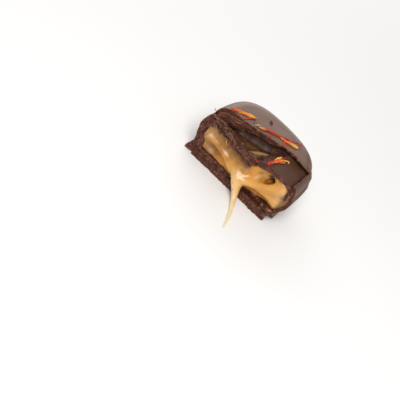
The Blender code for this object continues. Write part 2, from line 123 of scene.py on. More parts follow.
# The broken top: its ridge as (x, y), the crack on the right, the sunken shard and the bent flap
BREAK_FLOOR = 12.5
CRACK_X = 14.7
UNDERCUT = 0.7
UNDERCUT_TOP = 16.3
RIDGE = (
    (-20.0, 4.4), (-11.5, 5.0), (-6.6, 5.4), (-2.5, 6.4), (2.2, 7.7),
    (5.6, 9.1), (9.0, 9.6), (12.9, 8.8), (15.0, 9.2),
)
SHARD_SINK = 1.45
SHARD_THICK = 1.5
SHARD_LEFT = 3.4
SHARD_RIGHT = 14.2
SHARD_FRONT = -0.5
SHARD_TIP = ((3.4, 0.95), (6.0, 0.5), (9.0, 0.25), (11.5, 0.3), (14.2, 0.6))
# The flap, with its front edge and how deep it sank as (x, mm)
FLAP_LEFT = -14.6
FLAP_RIGHT = -2.0
FLAP_FRONT = ((-14.6, 2.3), (-11.5, 2.6), (-8.5, 3.7), (-5.5, 5.1), (-2.0, 6.3))
FLAP_SINK = ((-14.6, 1.6), (-11.5, 1.3), (-8.5, 0.8), (-5.5, 0.7), (-3.5, 1.0), (-2.0, 1.35))
FLAP_THICK = 1.0
# It comes down in steps of one height. Each has how many heights it rises, how much that varies along the
# flap, the shares of the way back where it starts and ends, and how far these stray
FLAP_STEP = 0.42
FLAP_STEPS = (
    (1.1, 2.0, 0.22, 0.34, 1.0),
    (1.0, -1.6, 0.55, 0.63, -0.9),
    (0.9, 0.0, 0.82, 0.88, 0.5),
)
# The crushed edge along x: low and high z, front and back y
CRUSHED_EDGE = (
    (-13.2, 12.9, 14.1, -0.6, 1.9),
    (-9.0, 12.6, 14.3, -0.9, 2.0),
    (-6.0, 12.0, 13.9, -1.0, 1.9),
    (-4.0, 11.3, 13.2, -1.2, 1.7),
    (-1.0, 10.9, 12.9, -1.3, 1.6),
    (2.4, 11.3, 12.6, -1.0, 1.6),
)

# The filling's string as rows of place, half width and half thickness
STRING = (
    (0.4, 2.4, 7.2, 4.4, 2.0),
    (1.0, 0.7, 6.6, 3.7, 1.9),
    (1.7, -0.7, 5.6, 2.7, 1.6),
    (2.5, -1.8, 4.1, 1.75, 1.25),
    (3.6, -2.6, 2.4, 1.1, 0.9),
    (4.8, -4.0, 1.05, 0.78, 0.7),
    (6.0, -6.4, 0.64, 0.62, 0.58),
    (7.1, -9.0, 0.5, 0.5, 0.46),
    (8.1, -12.2, 0.36, 0.36, 0.33),
    (8.8, -15.0, 0.22, 0.2, 0.18),
)
# The face of the filling leans out (more than 0) or back (less) at spots and along folds. A spot has how far,
# its middle (x, z) and its reach, and a fold has how far, its points (x, z) and its reach
FACE_SPOTS = (
    (1.2, 1.8, 7.2, 6.5, 3.6),
    (1.0, 1.8, 5.2, 3.0, 2.4),
    (0.9, 11.8, 13.4, 2.6, 1.7),
    (-1.5, -9.0, 5.6, 4.5, 1.7),
    (-1.7, 9.0, 4.4, 6.0, 1.3),
    (-0.9, 8.3, 12.1, 1.3, 1.2),
)
FACE_FOLDS = (
    (1.1, ((-13.0, 8.6), (-8.5, 8.3), (-5.0, 7.0), (-1.5, 5.6)), 1.5),
    (1.0, ((2.6, 5.4), (6.5, 7.4), (10.0, 9.6), (14.0, 11.6)), 1.9),
    (0.8, ((-13.4, 4.5), (-13.4, 11.0)), 1.0),
    (-0.8, ((3.4, 8.4), (6.0, 9.8), (8.8, 11.8)), 1.7),
)
# Spots of the face painted darker: shade at the lower left and the upper left, and the grey-pink of the
# painted sheen beside the hole. Each has how much, the middle (x, z) and the reach
SHADE_AND_SHEEN_SPOTS = (
    (0.5, -10.5, 5.0, 4.5, 2.2),
    (0.4, 6.0, 10.6, 1.3, 1.7),
    (0.45, -11.5, 10.4, 2.8, 1.6),
)
# Height of the filling's top under the shard, as (x, z)
UNDER_SHARD = ((3.4, 12.3), (5.7, 12.9), (9.0, 13.8), (11.5, 14.2), (13.0, 13.9), (14.2, 13.3), (15.5, 12.4))
# Clean edge of the shard: x at the cut, and how far right it runs for each mm back. Left of it the shard dips
SHARD_EDGE = (4.9, 0.3)
# A wet fold in the hollow, beside the shard, and the line along it where a highlight is painted
HOLLOW_HIGHLIGHT = ((-1.6, 3.0), (0.6, 4.4), (3.0, 6.0))
HOLLOW_FOLD = (
    (-1.6, 3.0, 11.6, 0.3, 0.3),
    (-0.4, 3.6, 12.0, 0.5, 0.4),
    (1.0, 4.6, 12.4, 0.7, 0.5),
    (2.2, 5.4, 12.8, 0.5, 0.45),
    (3.4, 6.4, 13.0, 0.35, 0.35),
)
# The hole under the shard: its middle, half sizes, lean in the face and slant into it
PIT = (9.0, 0.95, 11.0)
PIT_SIZE = (2.3, 1.2, 0.62)
PIT_TURN = 0.75
PIT_SLANT = 0.6
# Painted amber light below the hole, and a painted pale sheen beside it, as (x, z)
PIT_WEDGE = ((6.7, 9.4), (8.5, 11.2))
SHEEN = ((5.1, 8.8), (6.5, 11.3))
FILLING_FLOOR = 12.3
FILLING_CEILING = 16.2
FILLING_LIFT = 0.65
FILLING_VOXEL = 0.18

# Cutters and fillings are made larger than the sweet and cut to it
CUTTER_HALF = 19.0
CUTTER_LOW = -3.0
CUTTER_HIGH = 19.0
CUTTER_FRONT = -16.0
PAST_BACK = DEPTH + 2.0
PAST_FLOOR = 1.5
# Cells of the front cutter, as (share, x): most of them lie where it meets the two walls
WALL_CELLS = (
    (0.0, -CUTTER_HALF), (0.03, -17.2), (0.5, -12.4),
    (0.55, 12.5), (0.97, 17.6), (1.0, CUTTER_HALF),
)

# Where the left wall ends at the cut and the right one starts, as two x each, and how far the left one
# crumbled
LEFT_WALL_ENDS = (-14.0, -12.0)
RIGHT_WALL_STARTS = (12.5, 13.5)
CRUMBLED = 0.25
# Cells of the slab and of the filling get longer towards the back, by a power of the share
SLAB_CELLS = 2.2
FILLING_CELLS = 1.4

# A face of the coat is smooth if its points and its middle are this close to the skin
ON_SKIN = 0.02
NEAR_SKIN = 0.1
# The coat is glossiest above one height and dull below another
GLOSSY_ABOVE = 15.5
DULL_BELOW = 12.0

# The camera: where it stands round the cut, and how the picture is framed
CAMERA_AZIMUTH = 10.0
CAMERA_ELEVATION = 37.4
CAMERA_ROLL = 37.7
CAMERA_DISTANCE = 350.0
PICTURE_WIDE = 400
PIXELS_PER_MM = 3.6
CUT_FOOT_PIXEL = (225.7, 185.8)
SENSOR = 36.0
# The two soft lights, in metres: where each stands and its two sides
KEY_LIGHT = ((0.06, -0.24, 0.30), (0.18, 0.18))
BACK_LIGHT = ((-0.24, 0.32, 0.135), (0.60, 0.25))
LIGHT_COLOUR = (1.0, 0.97, 0.94)
# The floor lies this far under the sweet, in metres
FLOOR_DROP = 0.00002


def linear(hex_colour):
    """An sRGB hex colour as linear red, green and blue."""
    parts = [int(hex_colour[at:at + 2], 16) / 255 for at in (1, 3, 5)]
    return tuple(c / 12.92 if c <= 0.04045 else ((c + 0.055) / 1.055) ** 2.4 for c in parts)


def colour_property(name, description, hex_colour):
    return bpy.props.FloatVectorProperty(
        name=name, description=description, subtype="COLOR", size=3, min=0.0, max=1.0,
        default=linear(hex_colour),
    )


def length_property(name, description, least, most, metres):
    return bpy.props.FloatProperty(
        name=name, description=description, unit="LENGTH", subtype="DISTANCE", min=least, max=most,
        default=metres,
    )


def strength_property(name, description, most, strength):
    return bpy.props.FloatProperty(name=name, description=description, min=0.0, max=most, default=strength)


class CoatSettings(bpy.types.PropertyGroup):
    colour: colour_property("Coat", "Tempered chocolate, between its reflections", "#593927")
    snapped: colour_property("Snapped", "Chocolate where it broke", "#5C2F1F")
    # The fleck colour is the chocolate's own lighter grain, and also the colour of the painted highlights on
    # edges
    fleck_and_highlight: colour_property("Flecks", "Lighter grains and edges of snapped chocolate", "#AC7A5E")
    relief: length_property("Break relief", "Height of the chips on snapped chocolate", 0.0, 0.001, 0.0005)


class FillingSettings(bpy.types.PropertyGroup):
    colour: colour_property("Caramel", "Soft golden caramel", "#D19541")
    # Also used as painted shade in the hole and on the left of the face, and as painted amber light below the
    # hole
    amber: colour_property("Amber", "Darker swirls in the caramel", "#9E5C14")
    # Also used as a painted sheen on the wet fold in the hollow and beside the hole
    cream: colour_property("Cream", "Paler caramel, at both ends of the cut and down the string", "#EED8AC")
    # Also used as painted shade: under the crushed edge, in the hollow and in spots of the face
    stain_and_shade: colour_property("Stain", "Caramel smeared with chocolate", "#43290E")
    # Painted shade: a dark brown sheet over the back of the hollow, where the overhanging top is in shade
    overhang_shade: colour_property("Melted chocolate", "Chocolate melted over the back of the hollow", "#44271A")
    glow: length_property("Glow", "How far light travels in the caramel", 0.0, 0.01, 0.0012)


class SaffronSettings(bpy.types.PropertyGroup):
    red: colour_property("Red", "The red end of a saffron thread", "#C4321A")
    orange: colour_property("Orange", "The middle of a saffron thread", "#E8801C")
    yellow: colour_property("Yellow", "The pale foot of a saffron thread", "#EDBE52")
    dark: colour_property("Dark red", "Dried tips of the threads", "#7E1A24")
    thickness: length_property("Thickness", "How thick a dried thread is", 0.0001, 0.001, 0.00022)


class StageSettings(bpy.types.PropertyGroup):
    floor: colour_property("Floor", "The pale floor", "#F1F1F1")
    key_power: strength_property("Key light", "Watts of the soft light in front", 100.0, 1.15)
    back_power: strength_property("Back light", "Watts of the broad light behind", 100.0, 1.2)
    fill: strength_property("Fill", "Strength of the even light from all round", 5.0, 0.45)


def smooth_step(low, high, value):
    share = min(1.0, max(0.0, (value - low) / (high - low)))
    return share * share * (3.0 - 2.0 * share)


def along(table, value):
    """The columns of a table at a value of its first column, by straight lines between rows."""
    if value <= table[0][0]:
        return table[0][1:]
    for low, high in zip(table, table[1:]):
        if value <= high[0]:
            share = (value - low[0]) / (high[0] - low[0])
            return tuple(a + (b - a) * share for a, b in zip(low[1:], high[1:]))
    return table[-1][1:]


def smooth_along(table, value):
    """The columns of a table at a value of its first column, along a smooth curve through the rows."""
    last = len(table) - 1
    value = min(max(value, table[0][0]), table[last][0])
    place = max(i for i in range(last) if table[i][0] <= value)
    before, low, high, after = (table[min(max(place + step, 0), last)] for step in (-1, 0, 1, 2))
    span = high[0] - low[0]
    t = (value - low[0]) / span
    found = []
    for column in range(1, len(low)):
        slope_low = (high[column] - before[column]) / (high[0] - before[0]) * span
        slope_high = (after[column] - low[column]) / (after[0] - low[0]) * span
        found.append(
            low[column] * (2 * t ** 3 - 3 * t ** 2 + 1) + high[column] * (3 * t ** 2 - 2 * t ** 3)
            + slope_low * (t ** 3 - 2 * t ** 2 + t) + slope_high * (t ** 3 - t ** 2)
        )
    return found


def smooth_route(rows, between):
    """Rows filled in along a smooth curve through them."""
    dense = []
    for place in range(len(rows) - 1):
        p0 = Vector(rows[max(place - 1, 0)])
        p1 = Vector(rows[place])
        p2 = Vector(rows[place + 1])
        p3 = Vector(rows[min(place + 2, len(rows) - 1)])
        for step in range(between):
            t = step / between
            bend, twist = 2 * p0 - 5 * p1 + 4 * p2 - p3, 3 * p1 - p0 - 3 * p2 + p3
            dense.append(0.5 * (2 * p1 + (p2 - p0) * t + bend * t ** 2 + twist * t ** 3))
    dense.append(Vector(rows[-1]))
    return dense


def crag(x, y, z, size, height):
    """Rough relief of broken chocolate, with lumps of the given size.

    Here and in chips(), a plain number among the coordinates picks a stretch of the noise.
    """
    return height * noise.fractal(Vector((x, y, z)) / size, 0.7, 2.1, 3)


def chips(x, y, z):
    """Relief of snapped chocolate, about -0.5 to 0.5: flat chips of two sizes, each broken off at a tilt."""
    here = Vector((x, y, z))
    total = 0.0
    for size, share in ((1.5, 1.0), (0.6, 0.5)):
        spot = noise.voronoi(here / size)[1][0]
        tilt = noise.noise_vector(spot * 5.3)
        total += share * (0.8 * noise.noise(spot * 3.7) + 0.9 * tilt.dot(here / size - spot))
    return total


def bump(x, z, centre_x, centre_z, reach_x, reach_z):
    """A round swelling over the cut face, 1 at its centre and near 0 past its reach."""
    far = ((x - centre_x) / reach_x) ** 2 + ((z - centre_z) / reach_z) ** 2
    return math.exp(-1.6 * far)


def streak(x, z, line, reach):
    """A long swelling over the cut face along a line of points (x, z), near 0 past its reach."""
    here = Vector((x, z))
    nearest = 1e9
    for start, end in zip(line, line[1:]):
        start, end = Vector(start), Vector(end)
        share = min(1.0, max(0.0, (here - start).dot(end - start) / (end - start).length_squared))
        nearest = min(nearest, (here - start.lerp(end, share)).length)
    return math.exp(-1.6 * (nearest / reach) ** 2)


def ridge_y(x):
    """How far back the top broke away, along the cut."""
    return along(RIDGE, x)[0]


def deselect():
    if bpy.context.object and bpy.context.object.mode != "OBJECT":
        bpy.ops.object.mode_set(mode="OBJECT")
    bpy.ops.object.select_all(action="DESELECT")


def take(piece):
    """Makes a piece the only one selected, and active."""
    deselect()
    piece.select_set(True)
    bpy.context.view_layer.objects.active = piece


def remove(piece):
    mesh = piece.data
    bpy.data.objects.remove(piece, do_unlink=True)
    bpy.data.meshes.remove(mesh)


def apply_modifier(piece, kind, **settings):
    take(piece)
    bpy.ops.object.modifier_add(type=kind)
    modifier = piece.modifiers[-1]
    for name, value in settings.items():
        setattr(modifier, name, value)
    bpy.ops.object.modifier_apply(modifier=modifier.name)


def combine(piece, operation, *others):
    """Joins, cuts or crosses a piece with others, which are used up."""
    for other in others:
        apply_modifier(piece, "BOOLEAN", operation=operation, object=other, solver="MANIFOLD")
        remove(other)
    if not piece.data.polygons:
        raise RuntimeError(f"nothing is left of {piece.name} after {operation}")


def displace(piece, kind, size, height):
    """Relief from one of Blender's own textures, with features of a size and height in mm."""
    texture = bpy.data.textures.new(f"{piece.name}_{kind.lower()}", kind)
    texture.noise_scale = size
    apply_modifier(piece, "DISPLACE", texture=texture, strength=height, mid_level=0.5)
    bpy.data.textures.remove(texture)


def keep_largest(piece):
    """Drops loose scraps, so that one closed surface is left."""
    work = bmesh.new()
    work.from_mesh(piece.data)
    left, islands = set(work.verts), []
    while left:
        found, edge = set(), {left.pop()}
        while edge:
            found |= edge
            edge = {e.other_vert(v) for v in edge for e in v.link_edges} - found
        left -= found
        islands.append(found)
    islands.sort(key=len)
    bmesh.ops.delete(work, geom=[v for island in islands[:-1] for v in island], context="VERTS")
    work.to_mesh(piece.data)
    work.free()


def block(name, cells, place):
    """A cube cut into cells along each axis, whose corners are then moved by place(s, t, w).

    One subdivide makes 100 cuts at most, so a longer row of cells takes two.
    """
    deselect()
    bpy.ops.mesh.primitive_cube_add(size=1)
    made = bpy.context.object
    made.name = name
    bpy.ops.object.mode_set(mode="EDIT")
    bpy.ops.mesh.select_mode(type="EDGE")
    for axis, count in enumerate(cells):
        for parts in ((count,) if count <= 100 else (count // 2, 2)):
            if parts == 1:
                continue
            bpy.ops.mesh.select_all(action="DESELECT")
            work = bmesh.from_edit_mesh(made.data)
            for edge in work.edges:
                edge.select_set(abs(edge.verts[1].co[axis] - edge.verts[0].co[axis]) > 1e-6)
            bmesh.update_edit_mesh(made.data)
            bpy.ops.mesh.subdivide(number_cuts=parts - 1)
    bpy.ops.object.mode_set(mode="OBJECT")
    for vertex in made.data.vertices:
        vertex.co = place(*(share + 0.5 for share in vertex.co))
    return made


def rounded_form(name, around, side_rings, crown_rings, dome_rings, walls=(0.0, 0.0, 0.0, 0.0), past=0.0):
    """The sweet's outer form, or the form inset by its walls: a sphere whose rings are moved onto it.

    With past, it also reaches that far below the floor and past the cut.
    """
    left_wall, right_wall, back_wall, top_wall = walls
    front_y = -PAST_CUT - past
    top_z = SHOULDER_Z + CROWN_RISE - top_wall
    crown_low = SHOULDER_Z - top_wall
    rings = [(0.0, 0.0, 1.0, -past)] if past else []
    rings += [(crown_low * step / side_rings, 0.0, 1.0, None) for step in range(side_rings)]
    for step in range(crown_rings + 1):
        turn = math.pi / 2 * step / crown_rings
        height = crown_low + (top_z - crown_low) * math.sin(turn)
        rings.append((crown_low, CROWN_INSET * (1 - math.cos(turn)), 1.0, height))
    for step in range(1, dome_rings):
        shrink = 1 - step / dome_rings
        rings.append((crown_low, CROWN_INSET, shrink, top_z + DOME_RISE * (1 - shrink * shrink)))

    def on_ring(section_z, inset, shrink, height, angle):
        left, right, back, squareness = smooth_along(SECTIONS, min(section_z, SHOULDER_Z))
        left, right = left - left_wall - inset, right - right_wall - inset
        back_y = back - back_wall - inset
        half_x, middle_x = (left + right) / 2, (right - left) / 2
        half_y, middle_y = (back_y - front_y) / 2, (back_y + front_y) / 2
        cos, sin = math.cos(angle), math.sin(angle)
        size = (abs(cos) ** squareness + abs(sin) ** squareness) ** (-1 / squareness)
        x = half_x * size * cos
        y = middle_y + shrink * half_y * size * sin
        side = x / half_x
        x -= (LEFT_TAPER if side < 0 else RIGHT_TAPER) * side * max(0.0, y)
        bulge = BULGE * smooth_step(4.0, 8.5, section_z)
        x += bulge * max(0.0, side) * (1 - smooth_step(BULGE_Y - 0.5, BULGE_Y + 0.5, y))
        y -= BACK_SKEW * max(0.0, side) * smooth_step(0.0, DEPTH, y)
        return middle_x + shrink * x, y, section_z if height is None else height

    deselect()
    bpy.ops.mesh.primitive_uv_sphere_add(segments=around, ring_count=len(rings) + 1, radius=1)
    form = bpy.context.object
    form.name = name
    low_pole, high_pole = None, None
    for vertex in form.data.vertices:
        latitude = math.asin(max(-1.0, min(1.0, vertex.co.z)))
        level = round((latitude / math.pi + 0.5) * (len(rings) + 1)) - 1
        if level < 0:
            low_pole = vertex
        elif level >= len(rings):
            high_pole = vertex
        else:
            vertex.co = on_ring(*rings[level], math.atan2(vertex.co.y, vertex.co.x))
    middle = Vector(on_ring(*rings[-1], 0.0)) + Vector(on_ring(*rings[-1], math.pi))
    high_pole.co = (middle.x / 2, middle.y / 2, top_z + DOME_RISE)
    low_pole.co = (middle.x / 2, middle.y / 2, -past)
    return form


def whole_form(name):
    """The sweet before it broke."""
    return rounded_form(name, around=144, side_rings=26, crown_rings=12, dome_rings=10)


def inner_form(name, walls):
    """The room inside walls, open below."""
    return rounded_form(
        name, around=96, side_rings=18, crown_rings=8, dome_rings=6, walls=walls, past=PAST_FLOOR,
    )


def room():
    """Where the filling and the slab lie: up to a little way into the walls."""
    return inner_form("room", [wall - INTO_WALL for wall in WALLS])


def tube(name, rows, between, sides):
    """A tapered string along rows of points, half width and half thickness."""
    route = smooth_route(rows, between)
    points, faces = [], []
    for place, (x, y, z, wide, thick) in enumerate(route):
        here = Vector((x, y, z))
        before = Vector(route[max(place - 1, 0)][:3])
        after = Vector(route[min(place + 1, len(route) - 1)][:3])
        forward = (after - before).normalized()
        across = forward.cross(Vector((0, 0, 1))).normalized()
        upward = forward.cross(across)
        for step in range(sides):
            angle = 2 * math.pi * step / sides
            points.append(here + across * wide * math.cos(angle) + upward * thick * math.sin(angle))
    for ring in range(len(route) - 1):
        for step in range(sides):
            a = ring * sides + step
            b = ring * sides + (step + 1) % sides
            faces.append((a, b, b + sides, a + sides))
    faces.append(tuple(reversed(range(sides))))
    faces.append(tuple(range((len(route) - 1) * sides, len(route) * sides)))
    mesh = bpy.data.meshes.new(name)
    mesh.from_pydata(points, [], faces)
    return placed(name, mesh)


def placed(name, data):
    """An object of a mesh, a lamp or a camera, in the scene."""
    made = bpy.data.objects.new(name, data)
    bpy.context.scene.collection.objects.link(made)
    return made


def skin_of(*pieces):
    """A tree of the surfaces of some pieces, for finding the nearest place or what a ray meets."""
    points, faces = [], []
    for piece in pieces:
        first = len(points)
        points += [v.co.copy() for v in piece.data.vertices]
        faces += [[first + v for v in face.vertices] for face in piece.data.polygons]
    return BVHTree.FromPolygons(points, faces)


def top_of(skin, x, y):
    """Height of the highest surface over (x, y)."""
    hit = skin.ray_cast(Vector((x, y, 50.0)), Vector((0, 0, -1)))
    return hit[0].z if hit[0] else SHOULDER_Z


def paint_breaks(piece, skin, smooth, snapped, rim_reach=0.3):
    """Smooth chocolate on the faces that lie on the skin, snapped chocolate on the rest.

    The attribute rim is 1 where snapped chocolate meets the skin and fades to 0 past the reach. There the
    snapped chocolate is painted with a highlight.
    """
    piece.data.materials.clear()
    piece.data.materials.append(smooth)
    piece.data.materials.append(snapped)
    rim = piece.data.attributes.new("rim", "FLOAT", "POINT")
    far = [skin.find_nearest(vertex.co)[3] for vertex in piece.data.vertices]
    rim.data.foreach_set("value", [math.exp(-((d / rim_reach) ** 2)) for d in far])
    for face in piece.data.polygons:
        points_on_skin = all(far[v] < ON_SKIN for v in face.vertices)
        on_skin = points_on_skin and skin.find_nearest(face.center)[3] < NEAR_SKIN
        face.material_index = 0 if on_skin else 1


def mark_relief_light(piece, gain=1.7):
    """Stores in the attribute worn how far each point stands out of its neighbours: 0.5 is level.

    Snapped chocolate uses it to paint a highlight on its raised edges and shade in its hollows.
    """
    mesh = piece.data
    points = np.empty(len(mesh.vertices) * 3)
    normals = np.empty(len(mesh.vertices) * 3)
    ends = np.empty(len(mesh.edges) * 2, dtype=int)
    mesh.vertices.foreach_get("co", points)
    mesh.vertex_normals.foreach_get("vector", normals)
    mesh.edges.foreach_get("vertices", ends)
    points, normals, ends = points.reshape(-1, 3), normals.reshape(-1, 3), ends.reshape(-1, 2)
    step = points[ends[:, 1]] - points[ends[:, 0]]
    length = np.linalg.norm(step, axis=1) + 1e-9
    out = np.zeros(len(points))
    count = np.zeros(len(points))
    for column, sign in ((0, -1.0), (1, 1.0)):
        here = ends[:, column]
        np.add.at(out, here, sign * (normals[here] * step).sum(axis=1) / length)
        np.add.at(count, here, 1.0)
    out /= np.maximum(count, 1.0)
    for _ in range(2):
        near = np.zeros(len(points))
        np.add.at(near, ends[:, 0], out[ends[:, 1]])
        np.add.at(near, ends[:, 1], out[ends[:, 0]])
        out = 0.45 * out + 0.55 * near / np.maximum(count, 1.0)
    worn = mesh.attributes.new("worn", "FLOAT", "POINT")
    worn.data.foreach_set("value", np.clip(0.5 + gain * out, 0.0, 1.0))


def settle(piece, slot, *nodes):
    """Brings a finished piece to the frame, sets it on the sweet and lets it stand for its CAD nodes."""
    piece.data.transform(Matrix.Scale(MM, 4) @ Matrix.Translation((0.0, -CUT_TO_MIDDLE, 0.0)))
    piece.data.update()
    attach(piece, BODY)
    if nodes:
        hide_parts(*nodes)


def finish(piece, slot, *nodes, sharp=50.0):
    """Shades a piece smooth up to an angle, and settles it."""
    take(piece)
    bpy.ops.object.shade_smooth_by_angle(angle=math.radians(sharp))
    settle(piece, slot, *nodes)


def draw(rng, *ranges):
    """A random number from each range, in order."""
    return [rng.uniform(low, high) for low, high in ranges]


def at_the_cut(piece):
    """A copy of a settled piece's surface, back in millimetres from the plane of the cut."""
    copy = bpy.data.objects.new("copy", piece.data.copy())
    copy.data.transform(Matrix.Translation((0.0, CUT_TO_MIDDLE, 0.0)) @ Matrix.Scale(1 / MM, 4))
    return copy


def whole_skin():
    """The skin of the sweet before it broke."""
    whole = whole_form("whole")
    skin = skin_of(whole)
    remove(whole)
    return skin


def finished_skin(*names):
    """The skin of pieces that are already in the frame, in millimetres from the plane of the cut."""
    copies = [at_the_cut(bpy.data.objects[name]) for name in names]
    skin = skin_of(*copies)
    for copy in copies:
        remove(copy)
    return skin


def set_inputs(tree, node, values):
    """Sets a node's inputs by name or place. A value that is a socket is linked instead."""
    for name, value in values.items():
        socket = node.inputs[name]
        if isinstance(value, bpy.types.NodeSocket):
            tree.links.new(value, socket)
        elif socket.type == "RGBA":
            socket.default_value = (*value, 1.0)
        else:
            socket.default_value = value


def add_node(tree, kind, inputs, **settings):
    """Adds a node with its settings and inputs, and gives its outputs."""
    node = tree.nodes.new("ShaderNode" + kind)
    for name, value in settings.items():
        setattr(node, name, value)
    set_inputs(tree, node, inputs)
    return node.outputs


def per_mm(size):
    """The scale of a pattern on Object coordinates whose features are that many millimetres."""
    return 1 / (size * MM)


def new_material(name):
    """A material with its Principled shader, and the coordinates of the piece that it is on."""
    made = bpy.data.materials.new(name)
    made.use_nodes = True
    tree = made.node_tree
    place = add_node(tree, "TexCoord", {})["Object"]
    return made, tree, tree.nodes["Principled BSDF"], place


def tempered_chocolate(coat, name="tempered_chocolate", tone=1.0, dullness=0.0):
    """Tempered dark chocolate, poured over the sweet and set: a satin, slightly wavy, grey-brown skin.

    Its gloss is uneven, with faint bloom in broad patches, and its sides are duller than its top.
    """
    made, tree, shader, place = new_material(name)
    patches = add_node(tree, "TexNoise", {"Vector": place, "Scale": per_mm(7), "Detail": 3.0})["Fac"]
    grain = add_node(tree, "TexNoise", {"Vector": place, "Scale": per_mm(0.25), "Detail": 4.0})["Fac"]
    plain = tuple(c * tone for c in coat.colour)
    bloom = tuple(min(1.0, c * 1.35 + 0.004) for c in plain)
    share = add_node(tree, "MapRange", {"Value": patches, "From Min": 0.35, "From Max": 0.7})[0]
    colour = add_node(tree, "Mix", {0: share, 6: plain, 7: bloom}, data_type="RGBA")[2]
    uneven = add_node(
        tree, "MapRange", {"Value": patches, "From Min": 0.3, "From Max": 0.7, "To Max": 0.1},
    )[0]
    height = add_node(tree, "SeparateXYZ", {"Vector": place})["Z"]
    sides = add_node(tree, "MapRange", {
        "Value": height, "From Min": GLOSSY_ABOVE * MM, "From Max": DULL_BELOW * MM,
        "To Min": 0.32 + dullness, "To Max": 0.56,
    })[0]
    bumps = add_node(tree, "Bump", {"Height": grain, "Strength": 0.25, "Distance": 0.03 * MM})["Normal"]
    set_inputs(tree, shader, {
        "Base Color": colour,
        "Roughness": add_node(tree, "Math", {0: uneven, 1: sides}, operation="ADD")[0],
        "IOR": 1.36 - 0.2 * dullness,
        "Normal": bumps,
    })
    return made


def shaded_chocolate(coat):
    """The same chocolate on the sunken shard, darker as painted shade, and a little duller."""
    return tempered_chocolate(coat, "shaded_chocolate", tone=0.64, dullness=0.2)


def snapped_chocolate(coat):
    """Dark chocolate where it snapped: dull, reddish brown with lighter flecks, painted with highlights on
    its raised edges and where it meets the skin, and with shade in its hollows.
    """
    made, tree, shader, place = new_material("snapped_chocolate")
    grain = add_node(tree, "TexNoise", {"Vector": place, "Scale": per_mm(0.3), "Detail": 5.0})["Fac"]
    lumps = add_node(tree, "TexNoise", {"Vector": place, "Scale": per_mm(1.8), "Detail": 5.0})["Fac"]
    rim = add_node(tree, "Attribute", {}, attribute_name="rim")["Fac"]
    worn = add_node(tree, "Attribute", {}, attribute_name="worn")["Fac"]
    # The darkest of these colours is the painted shade of the hollows
    dim, dark = (tuple(c * tone for c in coat.snapped) for tone in (0.45, 0.2))
    tone = add_node(tree, "MapRange", {"Value": lumps, "From Min": 0.36, "From Max": 0.64})[0]
    ground = add_node(tree, "Mix", {0: tone, 6: dim, 7: coat.snapped}, data_type="RGBA")[2]
    # Painted shade: the hollows are darkened
    hollows = add_node(
        tree, "MapRange", {"Value": worn, "From Min": 0.49, "From Max": 0.30, "To Max": 0.85},
    )[0]
    sunk = add_node(tree, "Mix", {0: hollows, 6: ground, 7: dark}, data_type="RGBA")[2]
    # Painted highlight: raised edges and the border with the smooth skin are lightened, in patches
    chipped = add_node(tree, "MapRange", {"Value": worn, "From Min": 0.55, "From Max": 0.78})[0]
    at_rim = add_node(tree, "MapRange", {"Value": rim, "From Min": 0.6, "From Max": 1.0})[0]
    edges = add_node(tree, "Math", {0: chipped, 1: at_rim}, operation="MAXIMUM")[0]
    share = add_node(tree, "MapRange", {
        "Value": lumps, "From Min": 0.40, "From Max": 0.60, "To Min": 0.06, "To Max": 0.62,
    })[0]
    uneven = add_node(tree, "Math", {0: edges, 1: share}, operation="MULTIPLY")[0]
    flecks = add_node(
        tree, "MapRange", {"Value": grain, "From Min": 0.62, "From Max": 0.74, "To Max": 0.35},
    )[0]
    # Lighter: the grain's own flecks, and the painted highlights
    light = add_node(tree, "Math", {0: flecks, 1: uneven}, operation="MAXIMUM")[0]
    set_inputs(tree, shader, {
        "Base Color": add_node(tree, "Mix", {0: light, 6: sunk, 7: coat.fleck_and_highlight}, data_type="RGBA")[2],
        "Roughness": 0.58,
        "IOR": 1.36,
        "Normal": add_node(tree, "Bump", {"Height": grain, "Strength": 0.4, "Distance": 0.06 * MM})["Normal"],
    })
    return made


def soft_caramel(filling):
    """Soft cooked caramel, torn open: wet gloss over clouded gold that light sinks into.

    Its IOR is about 1.46. An attribute says where it is stained with chocolate or painted with shade (red),
    deep amber, mostly as painted shade and painted amber light (green), paler or painted with a sheen (blue),
    and painted with the dark shade under the overhang (alpha).
    """
    made, tree, shader, place = new_material("soft_caramel")
    swirl = add_node(
        tree, "TexNoise", {"Vector": place, "Scale": per_mm(4.5), "Detail": 3.0, "Distortion": 1.2},
    )["Fac"]
    ripple = add_node(tree, "TexNoise", {"Vector": place, "Scale": per_mm(0.9), "Detail": 2.0})["Fac"]
    smears = add_node(tree, "Attribute", {}, attribute_name="smears")
    parts = add_node(tree, "SeparateColor", {"Color": smears["Color"]})
    cloud = add_node(
        tree, "MapRange", {"Value": swirl, "From Min": 0.48, "From Max": 0.74, "To Max": 0.45},
    )[0]
    # Darker amber, used for painted shade and painted amber light
    deep = tuple(c * 0.75 for c in filling.amber)
    waves = add_node(tree, "Bump", {"Height": ripple, "Strength": 0.35, "Distance": 0.05 * MM})["Normal"]
    colour = filling.colour
    for share, over in (
        (cloud, filling.amber), (parts["Blue"], filling.cream), (parts["Green"], deep),
        (parts["Red"], filling.stain_and_shade), (smears["Alpha"], filling.overhang_shade),
    ):
        colour = add_node(tree, "Mix", {0: share, 6: colour, 7: over}, data_type="RGBA")[2]
    set_inputs(tree, shader, {
        "Base Color": colour,
        "Roughness": add_node(tree, "MapRange", {"Value": parts["Red"], "To Min": 0.21, "To Max": 0.6})[0],
        "IOR": 1.46,
        "Subsurface Weight": 0.4,
        "Subsurface Radius": (1.0, 0.55, 0.22),
        "Subsurface Scale": filling.glow,
        "Normal": waves,
    })
    return made


